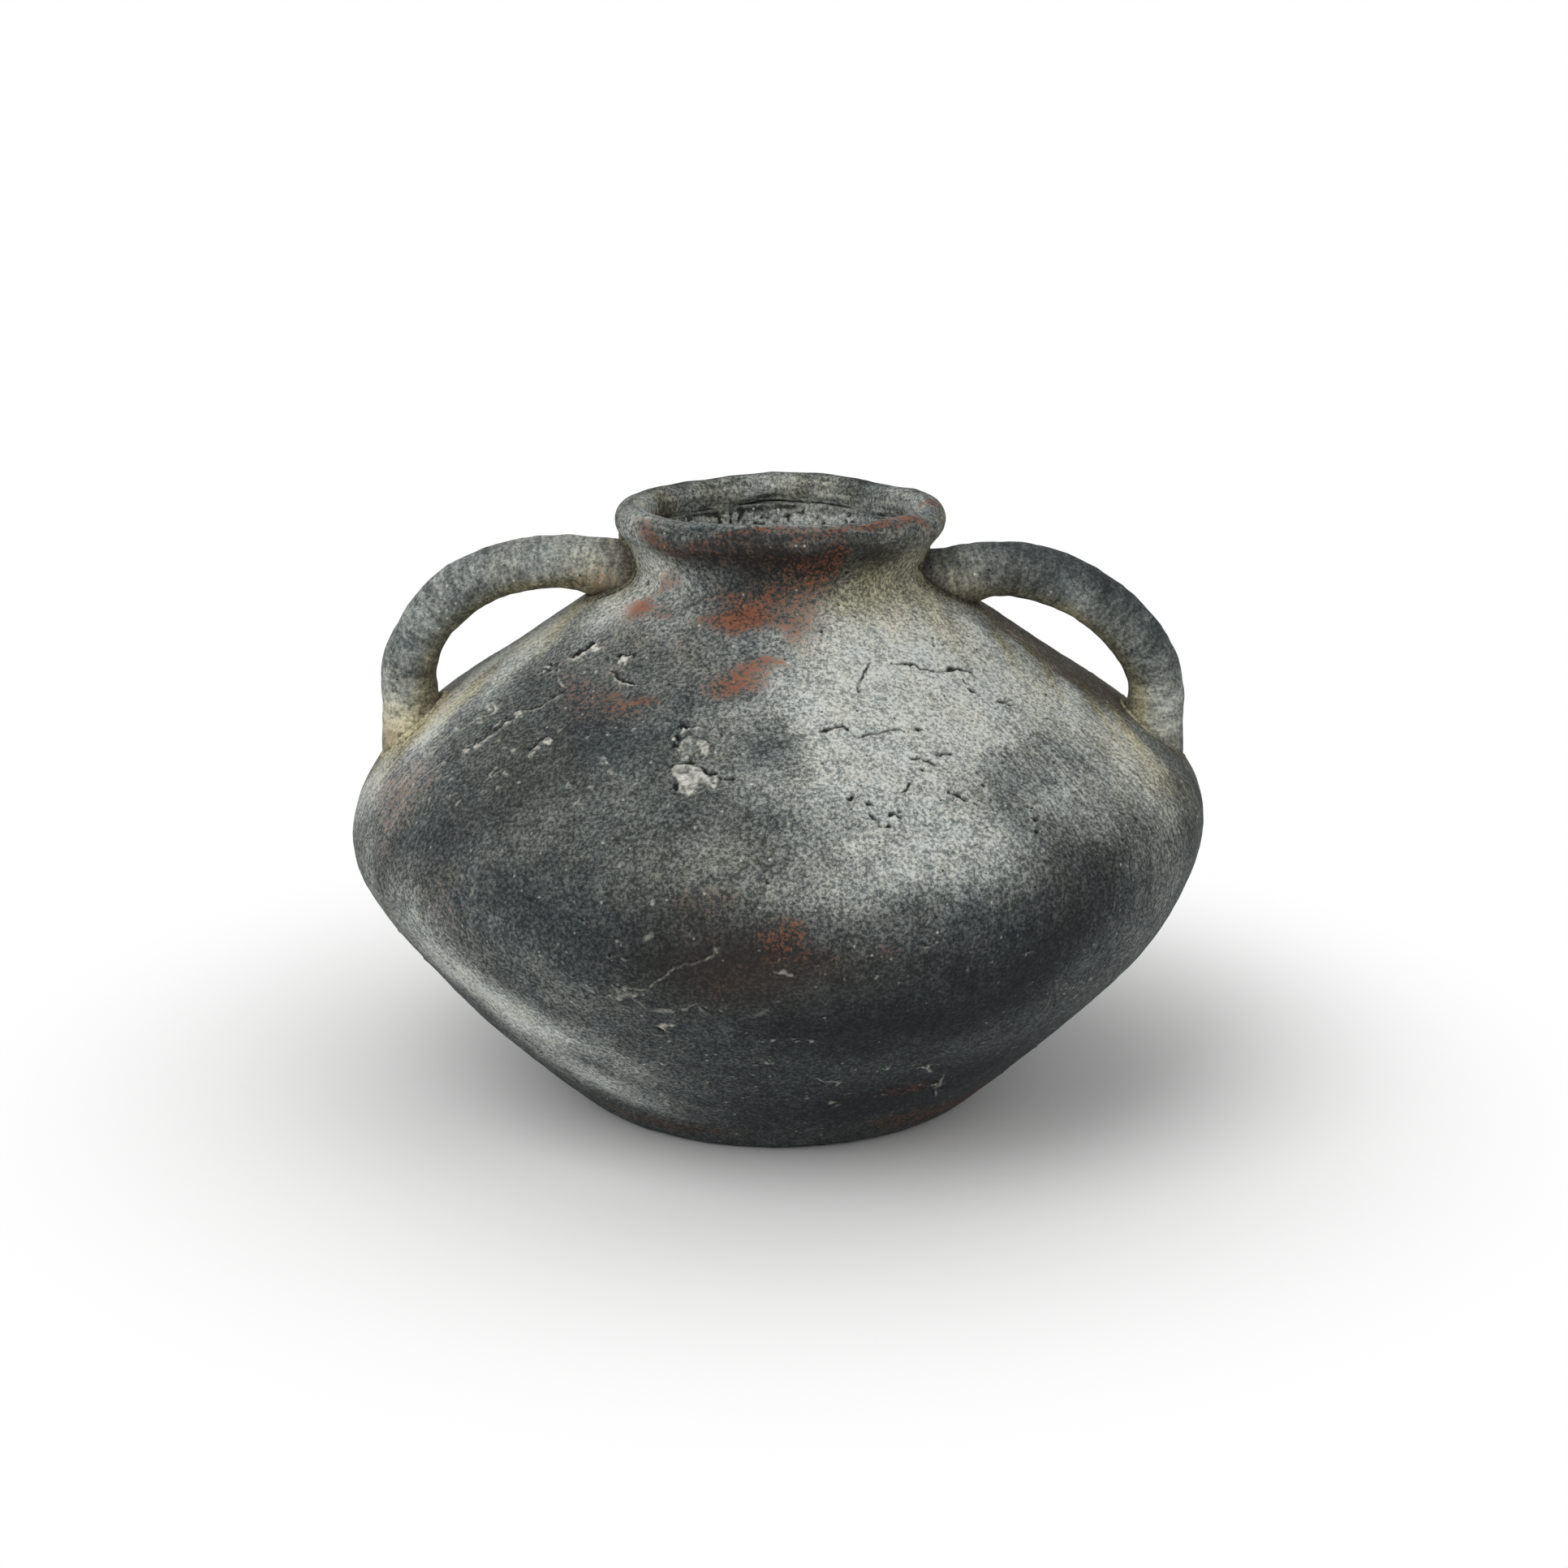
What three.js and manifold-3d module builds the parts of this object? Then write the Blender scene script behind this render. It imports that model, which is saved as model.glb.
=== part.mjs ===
// A squat two-handled earthenware vase, in millimetres, with +Z up.
// The origin is the middle of the foot, on the surface that the vase stands on.
// The handles lie along X, and the front of the vase faces -Y.
// A potter's joints hold it together: each piece is luted to the next with a thin layer of slip.
import * as THREE from 'three';
import { mergeVertices } from 'three/addons/utils/BufferGeometryUtils.js';
import Module from 'manifold-3d';

// Body, outside
const overallHeight = 165.1;
const bellyDiameter = 234.95;
const bellyHeight = 77.9;
const footDiameter = 89.4;
const heelDiameter = 123.4;
const heelHeight = 5.6;
const neckRootDiameter = 100.3;
const neckRootDrop = 24.9; // below the top of the rim
const throatDiameter = 79.4;
const throatDrop = 15.6; // below the top of the rim

// Slopes of the two straight stretches, away from the vertical
const lowerWallLean = THREE.MathUtils.degToRad(48.2);
const shoulderLean = THREE.MathUtils.degToRad(55);

// How far the outline keeps its direction on leaving each named place
const footFlow = 9.7;
const heelFlow = 11.6;
const lowerWallFlow = 30.9;
const bellyFlowBelow = 20.4;
const bellyFlowAbove = 19;
const shoulderFlow = 17;
const shoulderRun = 30.9; // length of the straight stretch below the neck
const neckRootFlow = 6;
const throatFlowBelow = 4;
const throatFlowAbove = 3;
const lipFlow = 2.4;

// Walls and floor
const wallThickness = 6.5;
const floorThickness = 8;
const recessDepth = 1.2; // hollow under the floor, inside the ring that the vase stands on
const standingRingWidth = 12;

// Rolled coil that makes the rim
const rimDiameter = 89.2;
const rimRollWidth = 8.6;
const rimRollHeight = 9.4;
const rimSeatDepth = 1.6; // how much of the roll is pressed flat on the collar

// Joints between the pieces
const slipGap = 0.3; // layer of slip
const scarfRise = 3; // a wall joint is higher inside than outside by this much
const bandSeamShare = 0.72; // of the way from the floor up to the widest ring
const bellySeamRise = 2; // above the widest ring

// Handles, a coil with an oval section each
const handleThickness = 15;
const handleWidth = 17.5;
const handleStartSink = 5.6; // the coil starts this far inside the throat, and is cut back to the wall
const handleEndSink = 14; // the coil ends this far below the shoulder, and is cut back to the wall
const leftHandle = {
  side: -1,
  rootRise: 3.6, // middle of the upper root, above the neck root
  crownRise: 9.3, // above the neck root
  crownOut: 9.4, // outside the neck root
  reachInset: 15.6, // inside the belly
  elbowDrop: 26.5, // below the neck root
  archFullness: 0.56, // 0.55 is a quarter of an ellipse, and less is flatter
};
const rightHandle = {
  side: 1,
  rootRise: 1.2,
  crownRise: 7,
  crownOut: 11.5,
  reachInset: 13,
  elbowDrop: 29,
  archFullness: 0.47,
};

// Roll of soft clay pressed into the crease round each handle root
const creaseRollRadius = 1.8;

// Fineness of the facets
const turns = 56;
const archSteps = 20;
const handleFacets = 16;
const creaseSteps = 24;
const creaseFacets = 6;

const neckRootHeight = overallHeight - neckRootDrop;
const rimCentre = new THREE.Vector2(rimDiameter / 2 - rimRollWidth / 2, overallHeight - rimRollHeight / 2);
const rimSeatHeight = overallHeight - rimRollHeight + rimSeatDepth;
const bandSeamHeight = THREE.MathUtils.lerp(floorThickness, bellyHeight, bandSeamShare);
const bellySeamHeight = bellyHeight + bellySeamRise;

const wasm = await Module();
wasm.setup();

// Outline of the body

// Ellipse angle at which the rim's roll meets its seat, below the level of its middle
const rimSeatAngle = Math.asin((rimCentre.y - rimSeatHeight) / (rimRollHeight / 2));

function rimOutline(fromAngle, toAngle, divisions) {
  const roll = new THREE.EllipseCurve(
    rimCentre.x, rimCentre.y, rimRollWidth / 2, rimRollHeight / 2, fromAngle, toAngle,
  );
  return roll.getPoints(divisions);
}

// Outside of the wall from the foot to the rim's seat, as (radius, height)
function outerOutline() {
  const foot = new THREE.Vector2(footDiameter / 2, 0);
  const heel = new THREE.Vector2(heelDiameter / 2, heelHeight);
  const belly = new THREE.Vector2(bellyDiameter / 2, bellyHeight);
  const neckRoot = new THREE.Vector2(neckRootDiameter / 2, neckRootHeight);
  const throat = new THREE.Vector2(throatDiameter / 2, overallHeight - throatDrop);
  const lip = rimOutline(-rimSeatAngle, 0, 1)[0];
  const outward = new THREE.Vector2(1, 0);
  const upward = new THREE.Vector2(0, 1);
  const upLowerWall = new THREE.Vector2(Math.sin(lowerWallLean), Math.cos(lowerWallLean));
  const upShoulder = new THREE.Vector2(-Math.sin(shoulderLean), Math.cos(shoulderLean));
  const upLip = new THREE.Vector2(1, 1).normalize();
  const shoulderStart = neckRoot.clone().addScaledVector(upShoulder, -shoulderRun);
  const stretches = [
    [foot, outward, footFlow, heel, upLowerWall, heelFlow, 4],
    [heel, upLowerWall, lowerWallFlow, belly, upward, bellyFlowBelow, 7],
    [belly, upward, bellyFlowAbove, shoulderStart, upShoulder, shoulderFlow, 6],
    [shoulderStart, upShoulder, shoulderRun / 3, neckRoot, upShoulder, shoulderRun / 3, 1],
    [neckRoot, upShoulder, neckRootFlow, throat, upward, throatFlowBelow, 4],
    [throat, upward, throatFlowAbove, lip, upLip, lipFlow, 3],
  ];
  const points = [foot];
  for (const [start, leaving, leavingFlow, end, arriving, arrivingFlow, divisions] of stretches) {
    const curve = new THREE.CubicBezierCurve(
      start,
      start.clone().addScaledVector(leaving, leavingFlow),
      end.clone().addScaledVector(arriving, -arrivingFlow),
      end,
    );
    points.push(...curve.getPoints(divisions).slice(1));
  }
  return points;
}

// The outline moved sideways by a distance, to the outside where the distance is positive
function offsetOutline(points, distance) {
  return points.map((point, index) => {
    const before = points[Math.max(index - 1, 0)];
    const after = points[Math.min(index + 1, points.length - 1)];
    const along = after.clone().sub(before).normalize();
    return new THREE.Vector2(point.x + along.y * distance, point.y - along.x * distance);
  });
}

function radiusAtHeight(points, height) {
  const found = points.findIndex((point) => point.y >= height);
  const next = found < 0 ? points.length - 1 : Math.max(found, 1);
  const [low, high] = [points[next - 1], points[next]];
  return THREE.MathUtils.mapLinear(height, low.y, high.y, low.x, high.x);
}

// Height at which the shoulder narrows to a radius
function shoulderHeightAt(radius) {
  const next = outside.findIndex((point) => point.y > bellyHeight && point.x <= radius);
  const [low, high] = [outside[next - 1], outside[next]];
  return THREE.MathUtils.mapLinear(radius, low.x, high.x, low.y, high.y);
}

// Part of an outline between two heights, with its own end points
function sliceOutline(points, lowHeight, highHeight) {
  const leastStep = 0.6;
  const between = points.filter((point) => (
    point.y > lowHeight + leastStep && point.y < highHeight - leastStep
  ));
  return [
    new THREE.Vector2(radiusAtHeight(points, lowHeight), lowHeight),
    ...between,
    new THREE.Vector2(radiusAtHeight(points, highHeight), highHeight),
  ];
}

const outside = outerOutline();
const inside = offsetOutline(outside, -wallThickness);

// Solids

function lathed(points) {
  const geometry = new THREE.LatheGeometry([...points, points[0]], turns);
  geometry.rotateX(Math.PI / 2);
  return geometry;
}

function toSolid(geometry) {
  const bare = geometry.clone();
  bare.deleteAttribute('normal');
  bare.deleteAttribute('uv');
  const merged = mergeVertices(bare, 1e-4);
  return new wasm.Manifold(new wasm.Mesh({
    numProp: 3,
    vertProperties: new Float32Array(merged.attributes.position.array),
    triVerts: new Uint32Array(merged.index.array),
  }));
}

function toGeometry(solid) {
  const mesh = solid.getMesh();
  const geometry = new THREE.BufferGeometry();
  geometry.setAttribute('position', new THREE.BufferAttribute(mesh.vertProperties, 3));
  geometry.setIndex(new THREE.BufferAttribute(mesh.triVerts, 1));
  geometry.computeVertexNormals();
  return geometry;
}

// A ring of wall between two joints; each joint climbs from the outside to the inside
function wallRing(lowHeight, highHeight, lowRise, highRise) {
  const outer = sliceOutline(outside, lowHeight + slipGap / 2, highHeight - slipGap / 2);
  const inner = sliceOutline(
    inside, lowHeight + lowRise + slipGap / 2, highHeight + highRise - slipGap / 2,
  );
  return lathed([...outer, ...inner.reverse()]);
}

function footSlab() {
  const recessRadius = footDiameter / 2 - standingRingWidth;
  const topHeight = floorThickness - slipGap / 2;
  return lathed([
    new THREE.Vector2(0, recessDepth),
    new THREE.Vector2(recessRadius, recessDepth),
    new THREE.Vector2(recessRadius + recessDepth, 0),
    ...sliceOutline(outside, 0, topHeight),
    new THREE.Vector2(0, topHeight),
  ]);
}

function rimCoil() {
  const seatedAngle = Math.asin((rimCentre.y - rimSeatHeight - slipGap / 2) / (rimRollHeight / 2));
  return lathed(rimOutline(-seatedAngle, Math.PI + seatedAngle, 12));
}

// The body as one full solid, without its hollow, and larger all round by the layer of slip
function bodyWithSlip() {
  const rimEdge = rimOutline(-rimSeatAngle, Math.PI / 2, 6);
  const edge = offsetOutline([...outside, ...rimEdge.slice(1)], slipGap);
  return toSolid(lathed([
    new THREE.Vector2(0, 0),
    ...edge,
    new THREE.Vector2(0, overallHeight + slipGap),
  ]));
}

const body = bodyWithSlip();

// Middle line of a handle, in the plane Y = 0
function handlePath(sizes) {
  const { side, rootRise, crownRise, crownOut, reachInset, elbowDrop, archFullness } = sizes;
  const neckRootRadius = neckRootDiameter / 2;
  const reach = bellyDiameter / 2 - reachInset;
  const at = (radius, height) => new THREE.Vector3(side * radius, 0, height);
  const start = at(throatDiameter / 2 - handleStartSink, neckRootHeight + rootRise);
  const crown = at(neckRootRadius + crownOut, neckRootHeight + crownRise);
  const elbow = at(reach, neckRootHeight - elbowDrop);
  const end = at(reach, shoulderHeightAt(reach) - handleEndSink);
  const crownFlow = Math.abs(elbow.x - crown.x) * archFullness;
  const elbowFlow = (crown.z - elbow.z) * archFullness;
  const path = new THREE.CurvePath();
  path.add(new THREE.QuadraticBezierCurve3(
    start, crown.clone().add(new THREE.Vector3(-side * crownOut, 0, 0)), crown,
  ));
  path.add(new THREE.CubicBezierCurve3(
    crown,
    crown.clone().add(new THREE.Vector3(side * crownFlow, 0, 0)),
    elbow.clone().add(new THREE.Vector3(0, 0, elbowFlow)),
    elbow,
  ));
  path.add(new THREE.LineCurve3(elbow, end));
  return path;
}

function handleCoil(path, growth) {
  const section = new THREE.Shape();
  section.absellipse(0, 0, handleWidth / 2 + growth, handleThickness / 2 + growth, 0, 2 * Math.PI);
  return toSolid(new THREE.ExtrudeGeometry(section, {
    steps: archSteps,
    curveSegments: handleFacets / 2,
    extrudePath: path,
  }));
}

function isInBody(point) {
  const radius = Math.hypot(point.x, point.y);
  return radius < radiusAtHeight(outside, Math.min(point.z, rimSeatHeight));
}

// Where a line drawn along the handle's surface goes into the body. The line is named by its angle
// round the oval. It is followed between two shares of the handle's length, one free and one buried.
function rootPoint(path, around, freeShare, buriedShare) {
  const across = new THREE.Vector3(0, 1, 0);
  let [free, buried] = [freeShare, buriedShare];
  let point;
  for (let halving = 0; halving < 24; halving += 1) {
    const share = (free + buried) / 2;
    const outwards = path.getTangentAt(share).cross(across);
    point = path.getPointAt(share)
      .addScaledVector(across, Math.cos(around) * handleWidth / 2)
      .addScaledVector(outwards, Math.sin(around) * handleThickness / 2);
    if (isInBody(point)) {
      buried = share;
    } else {
      free = share;
    }
  }
  return point;
}

// A round roll laid along the crease between the handle and the body
function creaseRoll(path, buriedShare) {
  const crease = [];
  for (let step = 0; step < creaseSteps; step += 1) {
    crease.push(rootPoint(path, step * 2 * Math.PI / creaseSteps, 0.5, buriedShare));
  }
  const loop = new THREE.CatmullRomCurve3(crease, true);
  const frames = loop.computeFrenetFrames(creaseSteps, true);
  const roll = new THREE.TorusGeometry(1, creaseRollRadius, creaseFacets, creaseSteps);
  const position = roll.attributes.position;
  for (let facet = 0; facet <= creaseFacets; facet += 1) {
    const angle = (facet % creaseFacets) * 2 * Math.PI / creaseFacets;
    for (let step = 0; step <= creaseSteps; step += 1) {
      const place = step % creaseSteps;
      const point = loop.getPointAt(place / creaseSteps)
        .addScaledVector(frames.normals[place], creaseRollRadius * Math.cos(angle))
        .addScaledVector(frames.binormals[place], -creaseRollRadius * Math.sin(angle));
      position.setXYZ(facet * (creaseSteps + 1) + step, point.x, point.y, point.z);
    }
  }
  return toSolid(roll);
}

// Finishes, by the colour that shows most on each piece

function finish(colour, roughness) {
  return new THREE.MeshStandardMaterial({ color: colour, roughness, metalness: 0 });
}

const slatePaint = finish('#43494c', 0.92);
const slateBowl = finish('#4f5456', 0.9);
const chalkedShoulder = finish('#85877f', 0.94);
const terracottaNeck = finish('#75604f', 0.93);
const greyRim = finish('#62686a', 0.9);
const dryBrushedHandle = finish('#77786f', 0.92);
const oliveSlip = finish('#6a6550', 0.95);

const group = new THREE.Group();

function addPiece(name, geometry, material) {
  const mesh = new THREE.Mesh(geometry, material);
  mesh.name = name;
  group.add(mesh);
}

addPiece('foot_slab', footSlab(), slatePaint);
addPiece('lower_bowl', wallRing(floorThickness, bandSeamHeight, 0, scarfRise), slateBowl);
addPiece('belly_band', wallRing(bandSeamHeight, bellySeamHeight, scarfRise, scarfRise), slateBowl);
addPiece('shoulder', wallRing(bellySeamHeight, neckRootHeight, scarfRise, scarfRise), chalkedShoulder);
addPiece('neck_collar', wallRing(neckRootHeight, rimSeatHeight, scarfRise, 0), terracottaNeck);
addPiece('rim_coil', rimCoil(), greyRim);

for (const [sideName, sizes] of [['left', leftHandle], ['right', rightHandle]]) {
  const path = handlePath(sizes);
  const handle = handleCoil(path, 0).subtract(body);
  const handleWithSlip = handleCoil(path, slipGap);
  addPiece(`handle_${sideName}`, toGeometry(handle), dryBrushedHandle);
  for (const [rootName, buriedShare] of [['upper', 0], ['lower', 1]]) {
    const roll = creaseRoll(path, buriedShare).subtract(body).subtract(handleWithSlip);
    addPiece(`slip_roll_${sideName}_${rootName}`, toGeometry(roll), oliveSlip);
  }
}

export default group;
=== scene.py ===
# A squat earthenware vase with two handles, finished in slate paint, chalk and worn terracotta.
# Lengths in the dictionaries are millimetres, angles are degrees, and the scene is in metres.
# Azimuth 0 is the front of the pot (-Y) and 90 is its right side (+X).
import math

import bmesh
import bpy
import mathutils
import numpy as np
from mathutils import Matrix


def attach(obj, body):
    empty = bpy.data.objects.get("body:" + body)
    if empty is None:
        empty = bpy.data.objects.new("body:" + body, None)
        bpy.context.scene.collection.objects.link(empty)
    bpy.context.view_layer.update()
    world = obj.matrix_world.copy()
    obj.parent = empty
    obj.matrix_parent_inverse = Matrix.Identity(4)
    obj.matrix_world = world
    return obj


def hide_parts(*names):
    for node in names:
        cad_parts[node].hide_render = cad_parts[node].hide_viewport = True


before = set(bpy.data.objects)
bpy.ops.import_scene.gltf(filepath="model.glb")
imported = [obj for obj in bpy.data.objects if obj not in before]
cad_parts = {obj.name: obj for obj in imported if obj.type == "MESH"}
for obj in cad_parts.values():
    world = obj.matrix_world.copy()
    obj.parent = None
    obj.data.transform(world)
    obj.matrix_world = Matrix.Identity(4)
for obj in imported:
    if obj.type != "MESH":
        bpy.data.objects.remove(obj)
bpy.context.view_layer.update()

print("frame loaded")

millimetre = 0.001


def smoothStep(low, high, value):
    share = np.clip((value - low) / (high - low), 0, 1)
    return share * share * (3 - 2 * share)


def lumps(points, size, seed):  # soft noise from -1 to 1, one lump about every size mm
    cell = points / size + seed * 7.31
    low = np.floor(cell).astype(np.int64)
    share = cell - low
    share = share * share * (3 - 2 * share)
    total = np.zeros(len(points))
    for corner in range(8):
        step = np.array([corner & 1, corner >> 1 & 1, corner >> 2 & 1])
        x, y, z = (low + step).T
        mixed = (x * 73856093) ^ (y * 19349663) ^ (z * 83492791) ^ (seed * 2654435761)
        mixed = (mixed ^ (mixed >> 13)) * 1274126177 & 0x7FFFFFFF
        mixed = (mixed ^ (mixed >> 15)) * 2246822519 & 0x7FFFFFFF
        weight = np.prod(np.where(step, share, 1 - share), axis=1)
        total += weight * (mixed / 0x3FFFFFFF - 1)
    return total


def layered(points, seed, *layers):  # noises of several sizes, each with its amount
    return sum(amount * lumps(points, size, seed + k) for k, (size, amount) in enumerate(layers))


def wander(points, size, seed):  # three noises, to push points about
    return np.stack([lumps(points, size, seed + k) for k in range(3)], axis=1)


def unit(rows, least=0):  # the same directions at length 1
    return rows / (np.linalg.norm(rows, axis=1)[:, None] + least)


def sampled(line, places, known=None):  # a line at fractional row numbers, or at places of known rows
    known = np.arange(len(line)) if known is None else known
    return np.stack([np.interp(places, known, column) for column in line.T], axis=1)


def turnOf(points):  # azimuth in radians
    return np.arctan2(points[:, 0], -points[:, 1])


def radiusOf(points):
    return np.hypot(points[:, 0], points[:, 1])


def spin(turn, radius, height):  # places round the pot's axis
    return np.stack([radius * np.sin(turn), -radius * np.cos(turn), height], axis=1)


# The photograph's view of the pot

photo = {
    "side": 1932,  # pixels
    "focal": 4171.1,  # pixels
    "axisAt": (958.6, 991.4),  # where the lens axis meets the picture
    "distance": 900.0,  # in front of the pot's axis
    "height": 355.4,
    "aimHeight": 80.0,
    "searchBefore": 190,  # a sight line is followed from here before the pot's axis
    "searchBehind": 130,  # to here behind it
    "searchStep": 0.05,
    "searchRounds": 3,
}
tilt = math.atan2(photo["height"] - photo["aimHeight"], photo["distance"])


def sightLine(x, y):
    across = (x - photo["axisAt"][0]) / photo["focal"]
    down = (y - photo["axisAt"][1]) / photo["focal"]
    way = np.array([
        across,
        math.cos(tilt) - down * math.sin(tilt),
        -math.sin(tilt) - down * math.cos(tilt),
    ])
    return np.array([0, -photo["distance"], photo["height"]]), way


def shownAt(point):  # the pixel of the photograph at which a point shows
    forward = photo["distance"] + point[1]
    below = photo["height"] - point[2]
    depth = forward * math.cos(tilt) + below * math.sin(tilt)
    x = photo["axisAt"][0] + photo["focal"] * point[0] / depth
    down = below * math.cos(tilt) - forward * math.sin(tilt)
    return x, photo["axisAt"][1] + photo["focal"] * down / depth


# Skin of the pot: one line from under the foot, up the outside, over the rim and down the inside

pot = {
    "height": 165.1,
    "bellyRadius": 117.475,
    "bellyHeight": 77.9,
    "footRadius": 44.7,
    "heelRadius": 61.7,
    "heelHeight": 5.6,
    "neckRootRadius": 50.15,
    "neckRootHeight": 140.2,
    "throatRadius": 39.7,
    "throatHeight": 149.5,
    "lowerWallLean": 48.2,
    "shoulderLean": 55,
    "flows": {
        "foot": 9.7, "heel": 11.6, "lowerWall": 30.9, "bellyBelow": 20.4, "bellyAbove": 19,
        "shoulder": 17, "neckRoot": 6, "throatBelow": 4, "throatAbove": 3, "lip": 2.4,
        "shoulderStraight": 10,
    },
    "shoulderRun": 30.9,
    "wall": 6.5,
    "floor": 8,
    "insideFrom": 7,  # the inner line starts a little under the top of the floor
    "recessDepth": 1.2,
    "recessRadius": 32.7,
    "rimRoll": {"radius": 40.3, "height": 160.4, "halfWidth": 4.3, "halfHeight": 4.7, "seat": 157.3},
    "bandSeam": 58.3,
    "bellySeam": 79.9,
    "scarfRise": 3,
}


def stretch(start, leaving, end, arriving, count=90):
    start, leaving, end, arriving = (np.array(p, float) for p in (start, leaving, end, arriving))
    share = np.linspace(0, 1, count)[:, None]
    rest = 1 - share
    curve = rest ** 3 * start + 3 * rest ** 2 * share * (start + leaving)
    return curve + 3 * rest * share ** 2 * (end - arriving) + share ** 3 * end


def outsideLine():
    flows, roll, straight = pot["flows"], pot["rimRoll"], pot["flows"]["shoulderStraight"]
    lower, upper = math.radians(pot["lowerWallLean"]), math.radians(pot["shoulderLean"])
    upWall = np.array([math.sin(lower), math.cos(lower)])
    upShoulder = np.array([-math.sin(upper), math.cos(upper)])
    upLip = np.array([1, 1]) / math.sqrt(2)
    lipAngle = math.asin((roll["height"] - roll["seat"]) / roll["halfHeight"])
    lip = np.array([roll["radius"] + roll["halfWidth"] * math.cos(lipAngle), roll["seat"]])
    foot = np.array([pot["footRadius"], 0])
    heel = np.array([pot["heelRadius"], pot["heelHeight"]])
    belly = np.array([pot["bellyRadius"], pot["bellyHeight"]])
    neckRoot = np.array([pot["neckRootRadius"], pot["neckRootHeight"]])
    throat = np.array([pot["throatRadius"], pot["throatHeight"]])
    shoulderStart = neckRoot - upShoulder * pot["shoulderRun"]
    out, up = np.array([1, 0]), np.array([0, 1])
    parts = [
        stretch(foot, out * flows["foot"], heel, upWall * flows["heel"]),
        stretch(heel, upWall * flows["lowerWall"], belly, up * flows["bellyBelow"]),
        stretch(belly, up * flows["bellyAbove"], shoulderStart, upShoulder * flows["shoulder"]),
        stretch(shoulderStart, upShoulder * straight, neckRoot, upShoulder * straight),
        stretch(neckRoot, upShoulder * flows["neckRoot"], throat, up * flows["throatBelow"]),
        stretch(throat, up * flows["throatAbove"], lip, upLip * flows["lip"]),
    ]
    return np.concatenate([parts[0]] + [part[1:] for part in parts[1:]]), lipAngle


def evenly(line, step):  # the same line with a point about every step mm
    length = np.concatenate([[0], np.cumsum(np.linalg.norm(np.diff(line, axis=0), axis=1))])
    places = np.linspace(0, length[-1], max(2, round(length[-1] / step) + 1))
    return sampled(line, places, length)


def lineNormals(line, least=0):  # directions to the right of a flat line's way
    along = unit(np.gradient(line, axis=0), least)
    return np.stack([along[:, 1], -along[:, 0]], axis=1)


def rollLine(fromAngle, toAngle, count=160):
    roll = pot["rimRoll"]
    angle = np.linspace(fromAngle, toAngle, count)
    return np.stack([
        roll["radius"] + roll["halfWidth"] * np.cos(angle),
        roll["height"] + roll["halfHeight"] * np.sin(angle),
    ], axis=1)


outside, lipAngle = outsideLine()
outside = evenly(outside, 0.25)
inside = outside - lineNormals(outside) * pot["wall"]
inside = inside[inside[:, 1] > pot["insideFrom"]]
roll = rollLine(-lipAngle, math.pi + lipAngle)
silhouette = np.concatenate([outside, rollLine(-lipAngle, math.pi / 2)[1:]])


def outerRadius(height):
    return np.interp(height, silhouette[:, 1], silhouette[:, 0], left=-1, right=-1)


def pointAt(line, height):  # where a rising line reaches a height
    return np.array([np.interp(height, line[:, 1], line[:, 0]), height])


def cutLine(line, low, high, margin=0.01):  # the stretch of a rising line between two heights
    kept = line[(line[:, 1] > low + margin) & (line[:, 1] < high - margin)]
    return np.concatenate([[pointAt(line, low)], kept, [pointAt(line, high)]])


def atPot(azimuth, height):
    turn, radius = math.radians(azimuth), float(outerRadius(height))
    return np.array([radius * math.sin(turn), -radius * math.cos(turn), height])


def onHandle(x, y):  # where the sight line meets the plane of the handles
    eye, way = sightLine(x, y)
    return eye - way * eye[1] / way[1]


def localFrame(point, span=3):  # directions to the right, up and out on the pot's skin at a point
    turn = math.atan2(point[0], -point[1])
    near = np.argmin(np.abs(silhouette[:, 1] - point[2]))
    slope = silhouette[min(near + span, len(silhouette) - 1)] - silhouette[max(near - span, 0)]
    slope /= np.linalg.norm(slope)
    right = np.array([math.cos(turn), math.sin(turn), 0])
    up = np.array([slope[0] * math.sin(turn), -slope[0] * math.cos(turn), slope[1]])
    return right, up, np.cross(right, up)


# Small unevenness of a pot built by hand

handWork = {
    "bellyTilt": 2.7,  # the widest ring stands this much higher on the right than in the middle
    "bellyTiltReach": 34,
    "sideLean": 1.0,  # below the belly the pot leans to the right by this much
    "sideLeanHeight": 53,
    "sideLeanReach": 24,
    "wallWave": 0.35,
    "wallLumps": ((38, 1), (17, 0.5)),
    "waveFrom": (2, 14),  # the foot stays flat below this, and the wave is whole above it
    "waveRadius": 30,
    "bellyHold": 0.75,  # the turned belly waves this much less
    "rimFrom": (148, 158),
    "rimRipple": 0.25,
    "rimRipples": 7,
    # azimuth and how far the rim stands up or out there
    "rimRise": (
        (-180, 0.7), (-165, 0.1), (-150, -0.5), (-135, -0.2), (-110, 0.3), (-90, 0.7), (-45, 2.1),
        (0, 3.0), (45, 2.1), (90, 0.8), (115, 0.5), (135, -0.3), (150, 0.1), (165, 0.6), (180, 0.7),
    ),
    "rimPush": (
        (-180, 0.0), (-90, -0.3), (-40, 0.3), (0, -0.3), (40, 0.2), (84, 1.0), (112, 0.5), (125, -0.3),
        (180, 0.0),
    ),
}


def byAzimuth(table, turn):  # a value that rolls softly from one azimuth of the table to the next
    azimuths = np.radians([azimuth for azimuth, value in table])
    values = np.array([value for azimuth, value in table])
    index = np.clip(np.searchsorted(azimuths, turn) - 1, 0, len(values) - 2)
    share = smoothStep(0, 1, (turn - azimuths[index]) / (azimuths[index + 1] - azimuths[index]))
    return values[index] + (values[index + 1] - values[index]) * share


def hump(height, middle, reach):  # 1 at a height, falling to 0 at this reach above and below it
    return np.clip(1 - ((height - middle) / reach) ** 2, 0, 1) ** 2


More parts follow.
